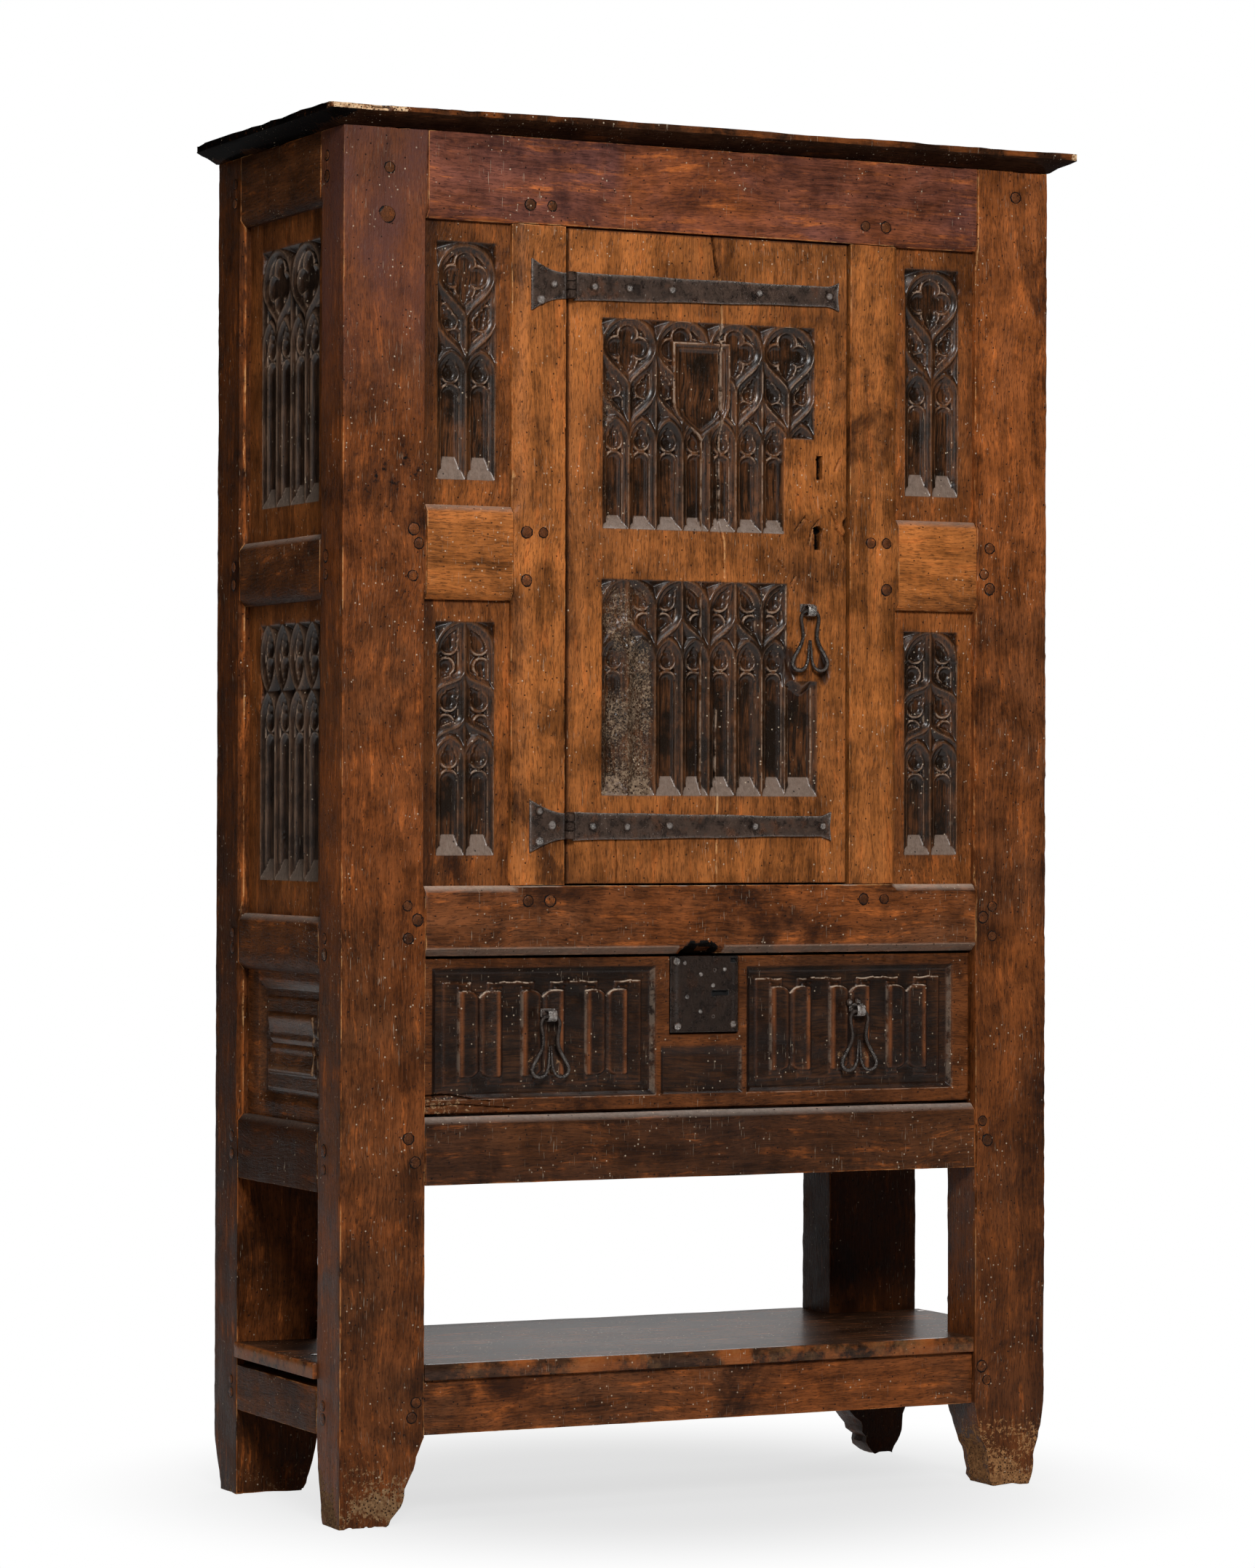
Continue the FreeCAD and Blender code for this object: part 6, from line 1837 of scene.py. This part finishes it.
def addDrawerFront():
    left, right, bottom, top = (drawer[key] for key in ("left", "right", "bottom", "top"))
    us = gridLines(left, right, [(left, -50.0), (-50.0, 52.0), (52.0, right)], fine=1.15)
    vs = gridLines(bottom, top, [(bottom, 503.0), (568.0, top)], fine=1.0, coarse=3.6)
    across, up = np.meshgrid(us, vs)
    points = facePoints(across, up, 800)
    depth, carved = np.zeros(across.shape), np.zeros(across.shape)
    bright, rub = np.zeros(across.shape), np.zeros(across.shape)
    for x0, x1, z0, z1, units in drawer["fields"]:
        sunkDepth, inside, rim = sunkField(across, up, (x0, x1, z0, z1), drawer["fold"]["ground"], 6.0)
        depth, carved = maximum(depth, sunkDepth), maximum(carved, inside)
        centre = np.array(units)[np.argmin(abs(across[..., None] - np.array(units)), axis=-1)]
        folds, line, rubbed = foldDepth(across - centre, up, drawer["fold"])
        here = rim > 8.5
        depth = where(here, folds, depth)
        bright, rub = where(here, line, bright), where(here, rubbed, rub)
        # painted highlight along the foot of each field's bevel
        edge = exp(-abs(rim) / 0.9) * 0.8
        bright = maximum(bright, edge * (up < z0 + 12))
    sunkDepth, inside, rim = sunkField(across, up, drawer["tablet"], 3.6, 4.0)
    depth, carved = maximum(depth, sunkDepth), maximum(carved, inside)
    # painted highlight line round the tablet
    bright = maximum(bright, exp(-abs(rim - 3.6) / 0.8) * 0.7 * (rim > 0))
    depth = softened(depth, 1)
    # the lock plate is let in, chips along the top edge and a broken corner low on the left
    x0, x1, z0, z1 = drawer["plate"]
    inPlate = (across > x0 - 1.2) & (across < x1 + 1.2) & (up > z0 - 1.5)
    depth = where(inPlate, maximum(depth, 2.0), depth)
    depth = where((across > x0 - 0.3) & (across < x1 + 0.3) & (up > z0 - 0.3), 13.0, depth)
    grit = rough(points, 6, 61)
    coarse = rough(points, (26, 12, 12), 63)
    chips = bounded(coarse * 1.3 - 0.2) * bounded((up - 612) / 8)
    chips = chips * bounded((across - 40) / 30) * bounded((300 - across) / 60)
    corner = bounded((-268 - across) / 50) * bounded((477 - up) / 16)
    depth = depth + 3.2 * chips * (1 + grit * 0.4)
    depth = depth + corner * (1.2 + 1.8 * abs(grit) + 1.2 * bounded(coarse))
    for line, width in drawer["cracks"]:
        depth = crack(depth, across, up, line, width, 4.0)
    # dents and rubbed spots where the two handles strike
    worn = np.zeros(across.shape)
    for place in (handles["drawer_handle_left"], handles["drawer_handle_right"]):
        for side in (-13, 14):
            depth = depth + 1.6 * bounded(1 - hypot((across - place["x"] - side) / 7, (up - 494) / 9))
        for side in (-20, -13, 14, 22):
            struck = hypot((across - place["x"] - side) / 5, (up - 497 - abs(side) / 2) / 7)
            worn = maximum(worn, bounded(1.2 - struck) * 0.62)
    depth = depth + 0.45 * bounded(0.4 + 0.6 * rough(points, (50, 20, 30), 65, 2))
    rim = rimOf(across, up, left, right, bottom, top)
    depth = depth + 1.0 * bounded(1 - rim / 2.0) ** 2
    ridge, hollow = reliefValues(depth, carved)
    # painted light and shade: steps in the folds that face left are painted lighter, those that face right
    # darker
    slant = np.gradient(depth, axis=1) / maximum(np.gradient(us), 0.2) * carved
    shadedSteps = bounded(slant / 0.7) * 0.85
    bright = maximum(bright, bounded(-slant / 0.7) * 0.62)
    rot = bounded(corner * (0.3 + 0.5 * abs(grit)) + worn + chips * 0.3)
    piece = carvedBoard("drawer_front_oak", "front", drawer["face"], drawer["thick"], us, vs, depth,
        carved=softened(carved, 1) * 0.9, ridge=maximum(ridge * 0.5, rub), hollow=hollow, rot=rot,
        dim=shadedSteps, arris=maximum(bright, exp(-rim / 2.2) * 0.5))
    dress(piece, finishes["drawer"], "drawer", "drawer_front")


drawerBoards = {
    "drawer_sides": ([((-342.5, -146, 457.3), (-328.5, 122, 602.3)),
        ((335.5, -146, 457.3), (349.5, 122, 602.3))], 1, "plainDeep"),
    "drawer_back": ([((-328.5, 108, 457.3), (335.5, 122, 602.3))], 0, "plain"),
    "drawer_bottom": ([((-342.5, -146, 447.3), (349.5, -12, 457.3)),
        ((-342.5, -12, 447.3), (349.5, 122, 457.3))], 0, "plain"),
}


def addDrawerBoards():
    for index, (node, (boxes, axis, finish)) in enumerate(drawerBoards.items()):
        boards = []
        for part, (low, high) in enumerate(boxes):
            piece = blank(low, high, axis, step=14.0)
            weather(piece, low, high, axis, nick=0.6, soft=0.6, seed=140 + index * 3 + part)
            merged(piece)
            boards.append(piece)
        finished(boards, node + "_oak", 50, finishes[finish], "drawer", node)


# Lock plate: a pillow of sheet iron with rivets, a square hole and a keyhole lying on its side
lockPlate = {
    "low": (-39.5, 535), "high": (46.5, 621), "face": -170.5, "back": -156,
    "way": ((-4, -164.5, 586), (11, -158.5, 623)),
    "hole": (76, 82.5, 79, 84), "key": (54.5, 44, 72.3, 4.6, 3.4),
    "corners": ((6.9, 80.5, "round"), (8.3, 6.8, "round"), (78.5, 8.6, "six")),
    "rivets": ((37.6, 65.5), (67.8, 71), (53, 52.8), (20.2, 40.1), (37, 23.5), (17, 78.5)),
    "rings": ((55, 70.3), (53.3, 17.7)),
}


def addLockPlate():
    x0, z0 = lockPlate["low"]
    size = lockPlate["high"][0] - x0
    us = gridLines(0, size, [(0, size)], fine=0.9)
    across, up = np.meshgrid(us, us)
    points = facePoints(across, up, 400)
    depth = 1.5 - 1.5 * bounded(minimum(across - 3.0, size - 3 - across) / 6.5)
    rim = rimOf(across, up, 0, size, 0, size)
    depth = depth + 0.7 * bounded(1 - rim / 1.3) ** 2
    depth = depth + 0.25 * abs(rough(points, 9, 71, 2))
    square = -rimOf(across, up, *lockPlate["hole"])
    kx, kz, end, tall, r = lockPlate["key"]
    slot = highest(kx - across, across - end, abs(up - kz - 0.4) - tall / 2)
    slot = minimum(hypot(across - kx, up - kz) - r, slot)
    hole = minimum(square, slot)
    depth = where(hole < 0, 5.0, depth)
    strips = bounded(1 - abs(across - 7.0) / 3.0) * 0.5 + bounded(1 - abs(across - 79.0) / 3.0) * 0.25
    edge = maximum(bounded(1 - abs(hole) / 1.0) * (hole > 0) * 0.8, bounded(1 - rim / 1.0) * 0.4)
    # painted shade: the square hole and the keyhole are painted black
    piece = carvedBoard("plate", "front", lockPlate["face"], lockPlate["back"] - lockPlate["face"],
        us + x0, us + z0, depth, arris=maximum(edge, strips * 0.6), soot=(hole < 0.4).astype(float),
        dim=np.full(across.shape, 0.9))
    cutOut(piece, *lockPlate["way"])
    parts = [piece]
    for x, z, kind in lockPlate["corners"]:
        parts.append(turned("corner", nailHeads[kind], (x0 + x, lockPlate["face"] + 0.6, z0 + z),
            sides=16 if kind == "round" else 6, wobble=0.03, seed=x))
    for x, z in lockPlate["rivets"]:
        rivet = turned("rivet", nailHeads["rivet"], (x0 + x, lockPlate["face"] + 0.25, z0 + z), sides=12,
            wobble=0.04, seed=x)
        setValues(rivet, arris=0.75, dim=0)
        parts.append(rivet)
    for x, z in lockPlate["rings"]:
        parts.append(turned("ring", nailHeads["ring"], (x0 + x, lockPlate["face"] + 0.25, z0 + z),
            sides=12))
    finished(parts, "drawer_lock_plate_iron", 50, iron, "drawer", "drawer_lock_plate")


addDrawerFront()
addDrawerBoards()
addLockPlate()

# Small side panels: linen folded lengthways in a bevelled frame
smallPanel = {"y": (-123, 137), "z": (427, 613), "field": (-84, 93, 456, 591), "centre": 521,
    "face": 433.5, "fold": {"low": -66, "high": 66, "half": 33, "band": 52, "ground": 6}}


def addSmallPanel(facing):
    sign = -1 if facing == "left" else 1
    y0, y1 = smallPanel["y"]
    fy0, fy1, fz0, fz1 = smallPanel["field"]
    if facing == "left":
        y0, y1, fy0, fy1 = -y1, -y0, -fy1, -fy0
    us = gridLines(y0, y1, [(fy0, fy0 + 34), (fy1 - 34, fy1)], fine=1.1, coarse=4.0)
    vs = gridLines(*smallPanel["z"], [(fz0, fz1)], fine=1.1, coarse=4.0)
    across, up = np.meshgrid(us, vs)
    depth, carved, rim = sunkField(across, up, (fy0, fy1, fz0, fz1), smallPanel["fold"]["ground"], 8.0)
    middle = (fy0 + fy1) / 2
    folds, line, rubbed = foldDepth(up - smallPanel["centre"], across - middle, smallPanel["fold"])
    here = rim > 9.5
    depth = softened(where(here, folds, depth), 1)
    points = facePoints(across, up, 500)
    depth = depth + 0.4 * bounded(0.4 + 0.6 * rough(points, (50, 30, 30), 81, 2))
    ridge, hollow = reliefValues(depth, carved)
    # painted highlight lines along the upper hook lines and the inner edge of the lower bevel
    bright = where(here, line, 0) + exp(-abs(rim - 8) / 0.9) * 0.4 * (up < fz0 + 12)
    node = f"side_panel_drawer_{facing}"
    piece = carvedBoard(node + "_oak", facing, sign * smallPanel["face"], 15.0, us, vs, depth,
        carved=softened(carved, 1) * 0.6, ridge=maximum(ridge * 0.5, where(here, rubbed, 0)),
        hollow=hollow, arris=bright)
    dress(piece, finishes["smallPanel"], "frame", node)


addSmallPanel("left")
addSmallPanel("right")
print("drawer and small panels are folded")

# Pegs stand where the frame has them: each solid's own box gives its place
pegLook = {"radius": 5.9, "proud": 0.9, "ring": 6.9, "plug": (-394.5, -179, 1439)}


def solidBoxes(node):
    pick(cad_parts[node])
    bpy.ops.object.duplicate()
    opened(bpy.context.object)
    bpy.ops.mesh.remove_doubles(threshold=0.02 * mm)
    bpy.ops.mesh.separate(type="LOOSE")
    closed()
    boxes = []
    for part in list(bpy.context.selected_objects):
        co = pointsOf(part)
        boxes.append((co.min(0), co.max(0)))
        mesh = part.data
        bpy.data.objects.remove(part)
        bpy.data.meshes.remove(mesh)
    return boxes


def addPegs():
    parts = []
    for index, (low, high) in enumerate(solidBoxes("frame_pegs")):
        middle, size = (low + high) / 2, high - low
        axis = int(np.argmax(size))
        if size[axis] < 3:
            axis = int(np.argmin(size))
        outward = -1 if (low[1] < -150 if axis == 1 else middle[0] < 0) else 1
        place, toward = middle.copy(), np.zeros(3)
        place[axis], toward[axis] = (low[axis] + 1 if outward < 0 else high[axis] - 1), outward
        r, ring, proud = (pegLook[key] for key in ("radius", "ring", "proud"))
        grow = 1 + 0.10 * math.sin(index * 2.4)
        profile = ((ring * grow, -0.6), (ring * grow, 0.12), (r * grow, 0.10), (r * 0.94 * grow, 0.45),
            (r * 0.8, proud * 0.85), (r * 0.35, proud))
        peg = turned("peg", profile, place, toward, sides=9, wobble=0.05, seed=index * 1.7)
        far = hypot(*np.delete(pointsOf(peg) - place, axis, axis=1).T)
        # painted shade: a dark ring round each peg where it meets the timber
        setValues(peg, soot=bounded((far - r * 0.93 * grow) / 0.6),
            arris=bounded(1 - abs(far - r * 0.8) / 1.2) * 0.25,
            dim=0.1 + 0.3 * abs(math.sin(index * 1.3)))
        parts.append(peg)
    plug = turned("plug", ((9.6, -0.6), (9.6, 0.1), (8.6, 0.15), (8.0, 0.5), (6, 0.8), (2.5, 0.9)),
        pegLook["plug"], sides=14, wobble=0.09)
    far = hypot(*(pointsOf(plug) - pegLook["plug"])[:, [0, 2]].T)
    # painted shade: a dark ring round the plug
    setValues(plug, soot=clip((far - 8.2) / 1.0, 0, 0.8), dim=0.5, arris=0)
    parts.append(plug)
    finished(parts, "frame_pegs_oak", 40, finishes["peg"], "frame", "frame_pegs")


addPegs()
print("pegs are driven")


# What is still plain takes a finish on its CAD node

def finishNodes():
    for name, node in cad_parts.items():
        if node.hide_render:
            continue
        if any(word in name for word in ("plate", "strap", "nail", "bolt", "handle", "staple", "pin",
                "lock")):
            material = iron
        elif "side" in name or "runner" in name:
            material = finishes["plainDeep"]
        else:
            material = finishes["plain"]
        node.data.materials.clear()
        node.data.materials.append(material)


finishNodes()
print("finishes are on")
